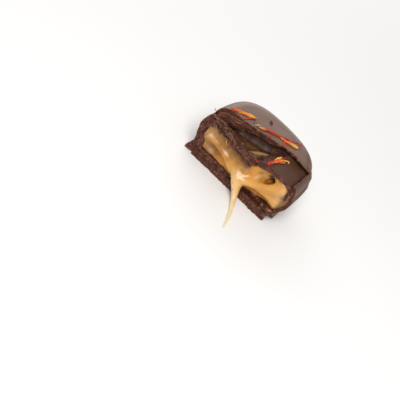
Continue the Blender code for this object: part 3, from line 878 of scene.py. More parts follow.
def dried_saffron():
    """Dried saffron: matt, finely ribbed along its length. Each point carries its own colour."""
    made, tree, shader, place = new_material("dried_saffron")
    tint = add_node(tree, "Attribute", {}, attribute_name="tint")["Color"]
    fibre = add_node(tree, "TexNoise", {"Vector": place, "Scale": per_mm(0.3), "Detail": 3.0})["Fac"]
    dimmed = {}
    for part, least in (("Red", 0.55), ("Green", 0.45), ("Blue", 0.45)):
        dimmed[part] = add_node(
            tree, "MapRange", {"Value": fibre, "From Min": 0.35, "From Max": 0.6, "To Min": least},
        )[0]
    ribs = add_node(tree, "CombineColor", dimmed)["Color"]
    set_inputs(tree, shader, {
        "Base Color": add_node(
            tree, "Mix", {0: 0.55, 6: tint, 7: ribs}, data_type="RGBA", blend_type="MULTIPLY",
        )[2],
        "Roughness": 0.7,
        "Subsurface Weight": 0.2,
        "Subsurface Radius": (1.0, 0.5, 0.2),
        "Subsurface Scale": 0.3 * MM,
    })
    return made


def burnt_speck():
    """Burnt sugar and vanilla specks in the caramel: dark reddish brown, wet."""
    made, tree, shader, place = new_material("burnt_speck")
    patches = add_node(tree, "TexNoise", {"Vector": place, "Scale": per_mm(1.5)})["Fac"]
    share = add_node(tree, "MapRange", {"Value": patches, "From Min": 0.4, "From Max": 0.6})[0]
    colours = {6: linear("#4E220E"), 7: linear("#8A4A20")}
    set_inputs(tree, shader, {
        "Base Color": add_node(tree, "Mix", {0: share, **colours}, data_type="RGBA")[2],
        "Roughness": 0.3,
    })
    return made


def studio_floor(stage):
    """Matt white painted board under the sweet."""
    made, tree, shader, place = new_material("studio_floor")
    patches = add_node(tree, "TexNoise", {"Vector": place, "Scale": per_mm(60)})["Fac"]
    dimmer = tuple(c * 0.985 for c in stage.floor)
    set_inputs(tree, shader, {
        "Base Color": add_node(tree, "Mix", {0: patches, 6: stage.floor, 7: dimmer}, data_type="RGBA")[2],
        "Roughness": 0.85,
    })
    return made


def ready(name, make, *settings):
    """A material by name, made the first time it is asked for."""
    return bpy.data.materials.get(name) or make(*settings)


def coat_materials(look):
    return (
        ready("tempered_chocolate", tempered_chocolate, look.coat),
        ready("snapped_chocolate", snapped_chocolate, look.coat),
    )


def cut_y(x, z):
    """The cut through the coat: nearly flat, crumbled at the left wall, chipped at the lower right."""
    left = 1.0 - smooth_step(*LEFT_WALL_ENDS, x)
    right = smooth_step(*RIGHT_WALL_STARTS, x)
    chip = right * max(0.0, CHIP_DEPTH * (1 - z / CHIP_HEIGHT))
    crumble = left * (CRUMBLED + crag(x, 0.0, z, 1.6, 0.45))
    return chip + crumble


class CARAMEL_OT_coat(bpy.types.Operator):
    """The chocolate coat: smooth outside, snapped along the cut and along the ridge of the broken top"""

    bl_idname = "caramel.coat"
    bl_label = "Coat"

    def execute(self, context):
        look = context.scene.caramel_look
        height = look.coat.relief / MM
        coat = whole_form("coat")
        displace(coat, "CLOUDS", 6.0, 0.16)
        skin = skin_of(coat)
        combine(coat, "DIFFERENCE", inner_form("cavity", WALLS))
        combine(coat, "DIFFERENCE", self.front_cutter(height), self.break_cutter(height))
        keep_largest(coat)
        paint_breaks(coat, skin, *coat_materials(look))
        mark_relief_light(coat)
        finish(coat, "coat", "shell")
        return {"FINISHED"}

    def front_cutter(self, height):
        """All that lay on the other side of the cut."""

        def place(s, t, w):
            x = along(WALL_CELLS, s)[0]
            z = CUTTER_LOW + w * (CUTTER_HIGH - CUTTER_LOW)
            if t == 0:
                return x, CUTTER_FRONT, z
            rough = 0.4 * height * chips(0.7 * x, 0.0, 0.7 * z) + crag(x, 40.0, z, 1.1, 0.12)
            return x, cut_y(x, z) + max(rough, -0.25), z

        return block("front_cutter", (96, 1, 100), place)

    def break_cutter(self, height):
        """The front strip of the top, which broke off along the ridge and the right-hand crack."""

        def place(s, t, w):
            x = -CUTTER_HALF + s * (CRACK_X + CUTTER_HALF)
            z = BREAK_FLOOR + w * (CUTTER_HIGH - BREAK_FLOOR)
            undercut = UNDERCUT * smooth_step(1.0, 4.0, x) * max(0.0, UNDERCUT_TOP - z)
            edge = ridge_y(x) + undercut + crag(x, 2000.0, z, 1.8, 0.3)
            y = -2.0 + t * (edge + 2.0)
            if t == 0:
                y = CUTTER_FRONT
            if t == 1:
                y += 0.5 * height * chips(x, 3.0, z)
            if s == 1:
                x += crag(1000.0, y, z, 1.8, 0.22)
            if w == 0:
                z += crag(x, y, 4000.0, 2.0, 0.5) + 0.6 * height * chips(x, y, 7.0)
            return x, y, z

        return block("break_cutter", (100, 36, 26), place)


class CARAMEL_OT_base_slab(bpy.types.Operator):
    """The base: two layers of snapped chocolate that came apart, the upper one set back"""

    bl_idname = "caramel.base_slab"
    bl_label = "Base slab"

    def execute(self, context):
        look = context.scene.caramel_look
        height = look.coat.relief / MM

        def back_to(y, t):
            return y + t ** SLAB_CELLS * PAST_BACK

        def lower(s, t, w):
            x = -CUTTER_HALF + s * (SLAB_RIGHT + CUTTER_HALF)
            z = w * SLAB_CRACK_Z
            y = back_to(SLAB_FRONT + crag(x, 3000.0, z, 1.5, 0.3), t)
            if t == 0:
                y += min(0.3, 0.45 * height * chips(0.35 * x, 11.0, z))
            if s == 1:
                x += crag(5000.0, y, z, 1.5, 0.3) + height * chips(17.0, y, z)
            if w == 1:
                z += 0.3 * height * chips(x, y, 13.0)
            return x, y, z

        def upper(s, t, w):
            x = -CUTTER_HALF + s * (UPPER_LAYER_RIGHT + CUTTER_HALF)
            low = SLAB_CRACK_Z - 0.2
            z = low + w * (SLAB_TOP - low)
            setback = UPPER_LAYER_BACK * smooth_step(-4, 3, x) * (1 - smooth_step(10, 11, x))
            y = back_to(setback - 0.1 + crag(x, 7000.0, z, 1.5, 0.35), t)
            if t == 0:
                y += 0.45 * height * chips(0.35 * x, 19.0, z)
            if w == 1:
                z += SLAB_LIFT * smooth_step(8, 13, x) * (1 - t) + 0.25 * height * chips(x, y, 23.0)
            return x, y, z

        slab = block("slab", (180, 14, 20), lower)
        combine(slab, "UNION", block("upper_layer", (180, 14, 12), upper))
        floor_cutter = block("floor_cutter", (1, 1, 1), lambda s, t, w: (40 * s - 20, 60 * t - 30, 5 * w - 5))
        combine(slab, "INTERSECT", room())
        combine(slab, "DIFFERENCE", floor_cutter)
        keep_largest(slab)
        mark_relief_light(slab)
        slab.data.materials.clear()
        slab.data.materials.append(coat_materials(look)[1])
        finish(slab, "broken", "base_slab")
        return {"FINISHED"}


def filling_front(x, z):
    """The face of the filling: a slumped sheet, whose two folds run into the string over two hollows."""
    out = sum(far * bump(x, z, *spot) for far, *spot in FACE_SPOTS)
    out += sum(far * streak(x, z, line, reach) for far, line, reach in FACE_FOLDS)
    return 0.3 - out


def filling_top(x, y):
    """The top of the filling: up to the coat at the back, sunk under the broken pieces in front."""
    pressed = smooth_step(-8.5, -4.5, x) * (1 - smooth_step(2.0, 3.2, y))
    hollow = FILLING_FLOOR - 0.6 * math.exp(-((x + 1.5) / 4.5) ** 2) * (1 - pressed) - 1.4 * pressed
    under_shard = along(UNDER_SHARD, x)[0]
    front = hollow + (under_shard - hollow) * smooth_step(2.5, 4.0, x)
    under_rim = 0.9 * smooth_step(-6.0, -3.0, x)
    behind = smooth_step(0.1 + under_rim, 1.8 + under_rim, y - ridge_y(x))
    return front + (FILLING_CEILING - front) * behind


class CARAMEL_OT_filling(bpy.types.Operator):
    """The soft caramel, slumped out of the cut, with its string run down to the floor"""

    bl_idname = "caramel.filling"
    bl_label = "Filling"

    def execute(self, context):
        look = context.scene.caramel_look

        def place(s, t, w):
            x = CUTTER_HALF * (2 * s - 1)
            deep = t ** FILLING_CELLS * PAST_BACK
            low = SLAB_TOP + FILLING_LIFT * smooth_step(7, 13, x)
            z = low + w * (filling_top(x, deep) - low)
            waves = 0.2 * noise.noise(Vector((x / 3.4, 5.0, (z - 0.25 * abs(x)) / 1.1))) if t == 0 else 0.0
            return x, filling_front(x, z) + waves + deep, z

        filling = block("filling", (96, 26, 44), place)
        combine(filling, "INTERSECT", room())
        combine(filling, "UNION", tube("string", STRING, 8, 20))
        combine(filling, "UNION", tube("hollow_fold", HOLLOW_FOLD, 6, 16))
        combine(filling, "DIFFERENCE", self.pit())
        apply_modifier(filling, "REMESH", mode="VOXEL", voxel_size=FILLING_VOXEL, use_smooth_shade=True)
        keep_largest(filling)
        self.soften(filling)
        self.mark_smears_and_painted_light(filling)
        filling.data.materials.clear()
        filling.data.materials.append(ready("soft_caramel", soft_caramel, look.filling))
        take(filling)
        bpy.ops.object.shade_smooth()
        settle(filling, "caramel", "caramel")
        return {"FINISHED"}

    def pit_place(self):
        """Brings a ball of radius 1 to the hole."""
        turn = Matrix.Rotation(-PIT_TURN, 4, "Y") @ Matrix.Rotation(PIT_SLANT, 4, "Z")
        return Matrix.Translation(PIT) @ turn @ Matrix.Diagonal((*PIT_SIZE, 1.0))

    def pit(self):
        """The hole between the right fold and the shard, leaning up to the right."""
        deselect()
        bpy.ops.mesh.primitive_uv_sphere_add(segments=32, ring_count=16, radius=1)
        pit = bpy.context.object
        pit.data.transform(self.pit_place())
        return pit

    def mark_smears_and_painted_light(self, filling):
        """Stores where the filling is stained with chocolate, deep amber or paler, and where shade, amber
        light and sheen are painted on it.
        """
        smears = filling.data.attributes.new("smears", "FLOAT_COLOR", "POINT")
        into_pit = self.pit_place().inverted()
        for vertex, smear in zip(filling.data.vertices, smears.data):
            x, y, z = vertex.co
            wander = noise.noise(vertex.co / 1.6)
            fine = noise.noise(vertex.co / 0.7)
            # Painted highlight along the wet fold in the hollow
            fold = streak(x, y, HOLLOW_HIGHLIGHT, 0.9) * smooth_step(11.9, 12.4, z)
            # Painted shade: deep amber inside the hole
            pit = smooth_step(1.45, 1.0, (into_pit @ vertex.co).length) * smooth_step(-0.6, 0.2, y)
            low_edge = smooth_step(5.6, 4.0, z) * smooth_step(-3.0, -0.5, y)
            # Painted shade: deeper amber over the left of the face
            left_face_shade = bump(x, z, -7.5, 8.6, 7.0, 3.4) * min(1.0, 0.9 + 0.5 * wander)
            # Deeper amber: painted shade in the hole and on the left, painted amber light below the hole, and
            # a band at the foot
            amber = max(0.9 * pit, 0.4 * low_edge, 0.55 * streak(x, z, PIT_WEDGE, 0.8), 0.6 * left_face_shade)
            ends = max(smooth_step(-8.0, -12.0, x), smooth_step(10.5, 14.0, x))
            down_string = smooth_step(0.4, -7.0, y)
            # Paler at the ends of the cut and down the string; painted sheen on the fold and beside the hole
            pale = max(0.22 * ends, down_string, 0.3 * fold, 0.4 * streak(x, z, SHEEN, 0.45))
            # Painted shade at the back of the hollow, under the overhang
            behind = smooth_step(-0.9, -0.2, y - ridge_y(x) + 0.5 * wander + 0.2 * fine)
            overhang_shade = behind * smooth_step(11.2, 12.0, z)
            smear.color = (self.stain_and_shade(x, y, z, wander, fine, fold), amber, pale, overhang_shade)

    def stain_and_shade(self, x, y, z, wander, fine, fold):
        """How dark the filling is stained: chocolate smear and painted shade under the crushed edge and in
        the hollow, painted shade in spots, and darker by the walls and under the shard.
        """
        low = along(CRUSHED_EDGE, x)[0]
        # Smeared chocolate, and painted shade, under the crushed edge
        smear_and_shade_under_edge = smooth_step(low - 4.6, low - 0.6, z + 0.9 * wander) * (1 - smooth_step(1.0, 4.5, x))
        # In the hollow: partly smeared chocolate, partly painted shade, lighter along the painted highlight
        # of the fold
        inside = smooth_step(0.8, 2.0, y + 0.5 * wander) * smooth_step(9.8, 11.0, z)
        inside *= min(1.0, 0.96 + 0.2 * wander) * (1 - 0.55 * fold)
        by_wall = smooth_step(-12.2, -13.4, x + 0.7 * wander) + smooth_step(13.6, 14.8, x + 0.6 * wander)
        by_shard = smooth_step(13.2, 14.2, z + 0.5 * wander) * smooth_step(3.0, 4.5, x)
        spots = sum(share * bump(x, z, *spot) for share, *spot in SHADE_AND_SHEEN_SPOTS)
        stain_and_shade = max(0.72 * smear_and_shade_under_edge * (0.9 + 0.15 * fine), inside, 0.7 * by_wall, 0.45 * by_shard, spots)
        return min(1.0, max(0.0, stain_and_shade))

    def soften(self, filling):
        """Rounds off the filling, and its thin string only a little."""
        body = filling.vertex_groups.new(name="body")
        for vertex in filling.data.vertices:
            body.add([vertex.index], smooth_step(-5.0, -2.0, vertex.co.y), "REPLACE")
        apply_modifier(filling, "SMOOTH", factor=0.5, iterations=16, vertex_group="body")
        apply_modifier(filling, "SMOOTH", factor=0.4, iterations=2)
        filling.vertex_groups.clear()


def past_shard_edge(x, y):
    """How far to the left of the shard's clean edge a place is, in mm."""
    return SHARD_EDGE[0] + SHARD_EDGE[1] * y - x


class CARAMEL_OT_sunken_shard(bpy.types.Operator):
    """The flat piece of the top that sank in one go: smooth above, snapped round its edge"""

    bl_idname = "caramel.sunken_shard"
    bl_label = "Sunken shard"

    def execute(self, context):
        look = context.scene.caramel_look
        height = look.coat.relief / MM
        skin = whole_skin()

        def place(s, t, w):
            left = SHARD_LEFT + crag(6000.0, t * 9, 2000.0, 2.0, 0.7)
            x = left + s * (SHARD_RIGHT - left)
            front = SHARD_FRONT + crag(x, 4000.0, w, 2.0, 0.25)
            y = front + t * (ridge_y(x) + 0.45 - front)
            top = top_of(skin, min(x, 14.0), y) - SHARD_SINK
            thick = SHARD_THICK + 0.5 * (1 - smooth_step(3, 9, x)) * (1 - t) - 0.8 * smooth_step(7, 12, x)
            z = top - thick * (1 - w) - along(SHARD_TIP, x)[0] * (1 - t) ** 1.5
            z -= 0.5 * w * smooth_step(0.0, 2.6, past_shard_edge(x, y))
            if t == 0:
                y += max(-0.2, 0.5 * height * chips(x, 29.0, z)) + 0.25 * w
            if s == 0:
                x += 1.2 * height * chips(31.0, y, z)
            if w == 0:
                z += 0.5 * height * chips(x, y, 37.0)
            if w == 1:
                z += 0.35 * height * chips(x, y, 53.0) * smooth_step(0.0, 0.5, past_shard_edge(x, y))
            return x, y, z

        shard = block("shard", (80, 44, 10), place)
        apply_modifier(shard, "SMOOTH", factor=0.4, iterations=2)
        # The shard's smooth top takes a darker copy of the coat's chocolate, as painted shade
        shard.data.materials.append(ready("shaded_chocolate", shaded_chocolate, look.coat))
        shard.data.materials.append(coat_materials(look)[1])
        self.paint(shard)
        finish(shard, "coat", "sunken_shard")
        return {"FINISHED"}

    def paint(self, shard):
        """Smooth chocolate on the faces that look up, right of the clean edge, and snapped on the rest."""
        lid = skin_of(shard)
        edge = set()
        for face in shard.data.polygons:
            above = lid.ray_cast(face.center + Vector((0, 0, 0.05)), Vector((0, 0, 1)))
            x, y = face.center.x + 0.5 * noise.noise(face.center / 0.9), face.center.y
            smooth = face.normal.z > 0.75 and above[0] is None and past_shard_edge(x, y) < 0
            face.material_index = 0 if smooth else 1
            if smooth:
                edge.update(face.vertices)
        # Marks where the snapped edge meets the smooth top, for a painted highlight
        rim = shard.data.attributes.new("rim", "FLOAT", "POINT")
        rim.data.foreach_set("value", [1.0 if v.index in edge else 0.0 for v in shard.data.vertices])
        mark_relief_light(shard)
        worn = shard.data.attributes["worn"].data
        # Painted shade: left of the clean edge the snapped faces are darkened further
        for vertex in shard.data.vertices:
            past = past_shard_edge(vertex.co.x, vertex.co.y)
            worn[vertex.index].value -= 0.12 * smooth_step(0.0, 0.8, past)


class CARAMEL_OT_bent_flap(bpy.types.Operator):
    """The strip of the top that bent down left of the hollow, cracked along its length in steps"""

    bl_idname = "caramel.bent_flap"
    bl_label = "Bent flap"

    def execute(self, context):
        look = context.scene.caramel_look
        height = look.coat.relief / MM
        skin = whole_skin()

        def place(s, t, w):
            x = FLAP_LEFT + s * (FLAP_RIGHT - FLAP_LEFT)
            loose = 1 - smooth_step(-7.0, FLAP_RIGHT, x)
            front = along(FLAP_FRONT, x)[0] + crag(x, 8000.0, 1000.0, 2.0, 0.25 * loose)
            back = ridge_y(x) - 0.15
            drift = noise.noise(Vector((x / 3.5, 3.0, 0.0)))
            wander = 0.06 * noise.noise(Vector((x / 0.9, 9.0, 0.0))) + 0.16 * drift
            steps = sum(
                (rise + uneven * drift) * smooth_step(start, end, t + stray * wander)
                for rise, uneven, start, end, stray in FLAP_STEPS
            )
            y = front + t * (back - front)
            sink = along(FLAP_SINK, x)[0]
            taper = 1 - 0.85 * smooth_step(-8.0, FLAP_RIGHT, x)
            top = top_of(skin, x, max(y, 4.0)) - sink - FLAP_STEP * taper * (len(FLAP_STEPS) - steps)
            top += crag(x, y, 1000.0, 1.6, 0.10) + 0.05 * noise.noise(Vector((x / 0.9, 3 * t, 1.0)))
            z = top - FLAP_THICK * taper * (1 - w)
            if w == 1:
                z += 0.12 * height * chips(0.5 * x, y, 41.0)
            if t == 0:
                y += 0.6 * height * chips(x, 43.0, z)
            if s == 0:
                x += height * chips(47.0, y, z)
            return x, y, z

        flap = block("flap", (120, 44, 8), place)
        mark_relief_light(flap, 2.3)
        flap.data.materials.append(coat_materials(look)[1])
        finish(flap, "coat", "bent_flap")
        return {"FINISHED"}


# Flakes of the crushed edge and along the two walls, and the cells in which they are joined, in mm
EDGE_FLAKES = 46
LIP_FLAKES = 16
RAG_FLAKES = 18
FLAKE_VOXEL = 0.11


class CARAMEL_OT_crushed_edge(bpy.types.Operator):
    """The front edge of the top, crushed to lumps and thin flakes that lie on the filling"""

    bl_idname = "caramel.crushed_edge"
    bl_label = "Crushed edge"

    def execute(self, context):
        look = context.scene.caramel_look
        rng = random.Random(11)
        first, last = CRUSHED_EDGE[0][0], CRUSHED_EDGE[-1][0]

        def core(s, t, w):
            x = first + (last - first) * s
            low, high, front, back = along(CRUSHED_EDGE, x)
            y = front + 0.3 + (back - front - 0.4) * t + crag(x, w, 2000.0, 1.7, 0.4)
            z = low + 0.1 + (high - low - 0.45) * w + w * crag(x, y, 6000.0, 1.4, 0.45)
            z += (1 - w) * crag(x, y, 9000.0, 2.2, 0.5)
            return x, y, z

        flakes = [self.flake((-1.0, -1.0, 13.0), (4.2, 1.4, 0.42), (0.08, -0.12, 0.5), 2)]
        for number in range(EDGE_FLAKES):
            x = first + 0.4 + (last - first - 0.8) * (number + rng.uniform(0.1, 0.9)) / EDGE_FLAKES
            low, high = along(CRUSHED_EDGE, x)[:2]
            y, z = draw(rng, (-1.3, 1.3), (low - 0.35, high + 0.15))
            size = draw(rng, (1.0, 3.2), (0.5, 1.1), (0.25, 0.5))
            turns = draw(rng, (-0.5, 0.5), (-0.45, 0.2), (-0.2, 1.2))
            flakes.append(self.flake((x, y, z), size, turns, number + 3))
        self.join(look, "edge", block("edge", (60, 14, 10), core), flakes, "crushed_edge")
        lips = [self.flake((15.0, 0.5, 12.6), (1.5, 1.2, 3.4), (0.0, 0.1, 0.1), 60)]
        for number in range(LIP_FLAKES):
            share = number / (LIP_FLAKES - 1)
            x, y, z = draw(rng, (14.1, 15.0), (-0.3, 0.5), (-0.3, 0.3))
            size = draw(rng, (0.5, 1.1), (0.4, 0.9), (0.5, 1.5))
            turns = draw(rng, (-0.6, 0.6), (-0.5, 0.5), (-0.5, 0.5))
            lips.append(self.flake((x + 0.6 * share, y, z + 14.2 - 4.2 * share), size, turns, number + 61))
        self.join(look, "right_lip", lips[0], lips[1:])
        rags = []
        for number in range(RAG_FLAKES):
            x, y, up = draw(rng, (-13.6, -13.0), (0.1, 0.5), (0.0, 1.0))
            size = draw(rng, (0.4, 1.0), (0.4, 0.8), (0.6, 1.4))
            turns = draw(rng, (-0.8, 0.8), (-0.6, 0.6), (-0.3, 0.3))
            rags.append(self.flake((x, y, 4.0 + 8.6 * (number + up) / RAG_FLAKES), size, turns, number + 80))
        self.join(look, "left_rags", rags[0], rags[1:])
        return {"FINISHED"}

    def join(self, look, name, piece, flakes, *nodes):
        """Joins flakes to a piece in one rough mass of snapped chocolate."""
        piece.name = name
        height = look.coat.relief / MM
        combine(piece, "UNION", *flakes)
        apply_modifier(piece, "REMESH", mode="VOXEL", voxel_size=FLAKE_VOXEL)
        for vertex in piece.data.vertices:
            vertex.co += vertex.normal * min(0.1, 0.18 * height * chips(*vertex.co))
        apply_modifier(piece, "SMOOTH", factor=0.4, iterations=1)
        mark_relief_light(piece)
        piece.data.materials.clear()
        piece.data.materials.append(coat_materials(look)[1])
        finish(piece, "broken", *nodes, sharp=60.0)

    def flake(self, middle, size, turns, seed):
        """A jagged thin chip of chocolate, turned, tipped and rolled."""
        turn, tip, roll = turns
        lean = Matrix.Rotation(turn, 3, "Z") @ Matrix.Rotation(-tip, 3, "Y") @ Matrix.Rotation(roll, 3, "X")

        def place(s, t, w):
            a, b, c = ((share - 0.5) * length for share, length in zip((s, t, w), size))
            a *= 1 - 0.5 * t
            wander = Vector((noise.noise(Vector((a, b, seed))), noise.noise(Vector((b, a, seed + 5.5))), 0.0))
            wander.z = 0.6 * noise.noise(Vector((a / 0.8, b / 0.8, seed + 9.5)))
            return lean @ (Vector((a, b, c)) + wander * 0.4) + Vector(middle)

        return block(f"flake_{seed}", (6, 3, 1), place)


# The two ways in which places on the sweet are found
FROM_FRONT, FROM_ABOVE = Vector((0, 1, 0)), Vector((0, 0, -1))

# Saffron threads on the coat in mm: points (x, y, lift), half width at both ends, and the colours along them
COAT_THREADS = (
    (((-12.8, 5.4, 0.1), (-11.2, 6.5, 0.15), (-9.8, 7.5, 0.1)), (0.32, 0.40), ("red", "orange")),
    (((-11.4, 6.4, 0.15), (-9.0, 8.0, 0.2), (-6.9, 9.2, 0.25)), (0.38, 0.46), ("orange", "orange", "yellow")),
    (((-12.2, 5.6, 0.2), (-10.2, 7.2, 0.3), (-7.6, 8.7, 0.3)), (0.16, 0.22), ("red", "orange", "yellow")),
    (((-6.9, 9.5, 0.2), (-6.2, 9.3, 0.35), (-6.6, 8.7, 0.3)), (0.16, 0.1), ("yellow", "dark")),
    (((-6.8, 9.0, 0.15), (-7.6, 7.2, 0.15), (-8.2, 5.7, 0.1)), (0.16, 0.2), ("dark", "red", "red")),
    (
        ((-4.9, 6.5, 0.1), (-4.5, 7.6, 0.25), (-3.6, 7.9, 0.3), (-3.4, 7.0, 0.15)),
        (0.12, 0.12), ("yellow", "dark"),
    ),
    (
        ((-3.9, 7.2, 0.1), (-2.7, 8.0, 0.2), (-1.5, 9.2, 0.2), (0.3, 10.3, 0.2)),
        (0.2, 0.4), ("yellow", "red", "red"),
    ),
    (
        ((-1.4, 9.1, 0.25), (0.5, 10.5, 0.3), (2.0, 11.2, 0.2), (3.9, 12.6, 0.3)),
        (0.28, 0.34), ("red", "red", "dark"),
    ),
    (
        ((3.4, 12.2, 0.2), (5.3, 13.8, 0.4), (6.5, 14.6, 0.5), (8.3, 15.4, 0.7)),
        (0.26, 0.12), ("red", "dark", "red"),
    ),
    (
        ((1.7, 11.0, 0.15), (4.0, 11.6, 0.2), (5.3, 12.2, 0.2), (7.4, 13.1, 0.25)),
        (0.26, 0.42), ("orange", "orange", "yellow"),
    ),
    (((2.3, 10.9, 0.1), (3.9, 11.2, 0.15), (5.4, 11.9, 0.15)), (0.14, 0.2), ("red", "orange")),
    (((3.6, 10.9, 0.1), (4.1, 9.6, 0.15), (4.9, 8.2, 0.15)), (0.24, 0.14), ("red", "red")),
    (((4.2, 9.4, 0.2), (4.9, 9.3, 0.25)), (0.1, 0.08), ("red", "red")),
    (((-0.4, 8.2, 0.1), (0.2, 7.4, 0.15), (0.8, 6.8, 0.1)), (0.2, 0.14), ("red", "dark")),
    (((-16.6, 5.0, 0.5), (-16.2, 4.6, 0.2), (-15.7, 4.8, 0.2)), (0.035, 0.035), ("dark", "dark")),
    (((-3.5, 14.1, 0.1), (-3.1, 13.6, 0.2), (-2.5, 13.1, 0.1)), (0.22, 0.26), ("dark", "dark")),
    (((-3.3, 13.4, 0.15), (-2.7, 13.9, 0.1)), (0.12, 0.1), ("dark", "dark")),
)
# The tuft on the sunken shard
SHARD_THREADS = (
    (
        ((5.4, 0.0, 0.1), (5.9, 1.9, 0.2), (6.5, 3.8, 0.25), (7.2, 5.6, 0.2)),
        (0.36, 0.46), ("red", "red", "orange"),
    ),
    (
        ((5.8, 0.8, 0.25), (6.4, 2.6, 0.35), (7.0, 4.4, 0.3), (7.7, 6.3, 0.3)),
        (0.2, 0.2), ("red", "orange", "orange"),
    ),
    (((6.0, 2.8, 0.2), (6.0, 4.4, 0.3), (6.4, 6.2, 0.35)), (0.24, 0.2), ("orange", "yellow", "yellow")),
    (((6.9, 5.9, 0.2), (7.1, 6.9, 0.3), (7.0, 7.9, 0.2)), (0.14, 0.12), ("red", "dark")),
    (
        ((7.2, 5.2, 0.25), (7.9, 6.3, 0.35), (8.6, 7.0, 0.3), (8.8, 6.3, 0.2)),
        (0.2, 0.12), ("orange", "yellow", "yellow"),
    ),
    (((6.6, 3.2, 0.2), (7.5, 4.3, 0.2), (8.2, 5.6, 0.3)), (0.14, 0.12), ("red", "orange")),
)
# A red bit at the end of the crushed edge, and one in the caramel's face, whose points are (x, z, lift)
EDGE_THREADS = ((((1.7, 0.7, 0.15), (2.5, 0.9, 0.25), (3.2, 0.9, 0.15)), (0.2, 0.12), ("red", "red")),)
FACE_THREADS = (
    (((-8.2, 11.6, 0.1), (-7.3, 10.8, 0.12), (-6.5, 9.9, 0.1)), (0.1, 0.13), ("orange", "yellow", "orange")),
)


# Threads whose two half widths add up to more than this have two thin fibres beside them
THICK_THREAD = 0.4


def add_strand(work, tints, skin, row, saffron, seed, stray=0, facing=False):
    """Sweeps a flat, crinkled thread over what it lies on, and colours it from end to end."""
    places, (half_start, half_end), names = row
    if facing:
        hits = [skin.ray_cast(Vector((x, -30.0, z)), FROM_FRONT)[0].y for x, z, lift in places]
        route = smooth_route([(x, y - lift, z) for (x, z, lift), y in zip(places, hits)], 7)
    else:
        route = smooth_route([(x, y, top_of(skin, x, y) + lift) for x, y, lift in places], 7)
    if stray:
        reach = 1.6 * max(half_start, half_end)
        half_start, half_end = 0.35 * half_start, 0.35 * half_end
        for place, here in enumerate(route):
            off = noise.noise_vector(Vector((place / 9.0, seed, stray))) * reach
            here += Vector((off.x, off.y, 0.07 + 0.2 * abs(off.z)))
    colours = [Vector(getattr(saffron, name)) for name in names]
    thick = saffron.thickness / MM / 2
    sides, rings = 8, []
    for place, here in enumerate(route):
        share = place / (len(route) - 1)
        before, after = route[max(place - 1, 0)], route[min(place + 1, len(route) - 1)]
        forward = (after - before).normalized()
        lean = 0.6 * noise.noise(Vector((share * 3, seed, 0.5)))
        upward = Matrix.Rotation(lean, 3, forward) @ Vector((0, -1, 0) if facing else (0, 0, 1))
        across = forward.cross(upward).normalized()
        upward = across.cross(forward)
        ends = min(1.0, 0.45 + 5 * share, 0.4 + 5 * (1 - share))
        half = 1.45 * (half_start + (half_end - half_start) * share) * ends
        half *= 1 + 0.3 * noise.noise(Vector((share * 6, seed, 3.5)))
        stretch = share * (len(colours) - 1)
        low = min(int(stretch), len(colours) - 2)
        tint = colours[low].lerp(colours[low + 1], stretch - low)
        ring = []
        for step in range(sides):
            angle = 2 * math.pi * step / sides
            fold = 0.35 * thick * math.sin(3 * angle + seed)
            point = here + across * half * math.cos(angle)
            point += upward * ((thick + fold) * math.sin(angle) * ends)
            crinkle = noise.noise_vector(point / 0.45) * 0.05
            vertex = work.verts.new(point + crinkle)
            shade = 1 + 0.35 * noise.noise(point / 0.5)
            vertex[tints] = (*(tint * shade), 1.0)
            ring.append(vertex)
        rings.append(ring)
    for low_ring, high_ring in zip(rings, rings[1:]):
        for step in range(sides):
            after = (step + 1) % sides
            work.faces.new((low_ring[step], low_ring[after], high_ring[after], high_ring[step]))
    work.faces.new(reversed(rings[0]))
    work.faces.new(rings[-1])


def saffron_piece(name, rows, skin, saffron, facing=False):
    """One piece of all the threads of a list, each swept over what it lies on."""
    work = bmesh.new()
    tints = work.verts.layers.float_color.new("tint")
    for seed, row in enumerate(rows):
        add_strand(work, tints, skin, row, saffron, seed + 0.5, 0, facing)
        if sum(row[1]) > THICK_THREAD:
            add_strand(work, tints, skin, row, saffron, seed + 20.5, 1)
            add_strand(work, tints, skin, row, saffron, seed + 40.5, 2)
    bmesh.ops.recalc_face_normals(work, faces=work.faces)
    mesh = bpy.data.meshes.new(name)
    work.to_mesh(mesh)
    work.free()
    mesh.shade_smooth()
    mesh.materials.append(ready("dried_saffron", dried_saffron))
    settle(placed(name, mesh), "coat")


class CARAMEL_OT_saffron(bpy.types.Operator):
    """Dried saffron threads on the coat, a tuft of them on the sunken shard and a bit in the caramel"""

    bl_idname = "caramel.saffron"
    bl_label = "Saffron threads"

    def execute(self, context):
        saffron = context.scene.caramel_look.saffron
        saffron_piece("saffron_on_coat", COAT_THREADS, whole_skin(), saffron)
        saffron_piece("saffron_tuft", SHARD_THREADS, finished_skin("shard"), saffron)
        saffron_piece("saffron_on_edge", EDGE_THREADS, finished_skin("edge", "shard"), saffron)
        saffron_piece("saffron_in_caramel", FACE_THREADS, finished_skin("filling"), saffron, True)
        return {"FINISHED"}


# Where crumbs lie in mm: how many, smallest and largest, the patch's two corners, and how they are found
CRUMB_PATCHES = (
    (40, 0.10, 0.24, (-16.2, 3.0), (-13.2, 12.6), FROM_FRONT),
    (50, 0.08, 0.22, (-15.5, 0.4), (13.0, 3.4), FROM_FRONT),
    (50, 0.08, 0.24, (-13.4, -1.2), (2.4, 2.2), FROM_ABOVE),
    (7, 0.06, 0.12, (-12.0, 5.6), (12.5, 9.0), FROM_ABOVE),
    (5, 0.06, 0.12, (-11.5, 10.4), (2.0, 11.4), FROM_FRONT),
    (22, 0.10, 0.22, (-7.0, 5.9), (-1.0, 7.7), FROM_ABOVE),
    (20, 0.08, 0.18, (3.6, 13.4), (13.0, 15.2), FROM_FRONT),
    (34, 0.12, 0.36, (-8.5, 2.2), (3.2, 5.8), FROM_ABOVE),
)
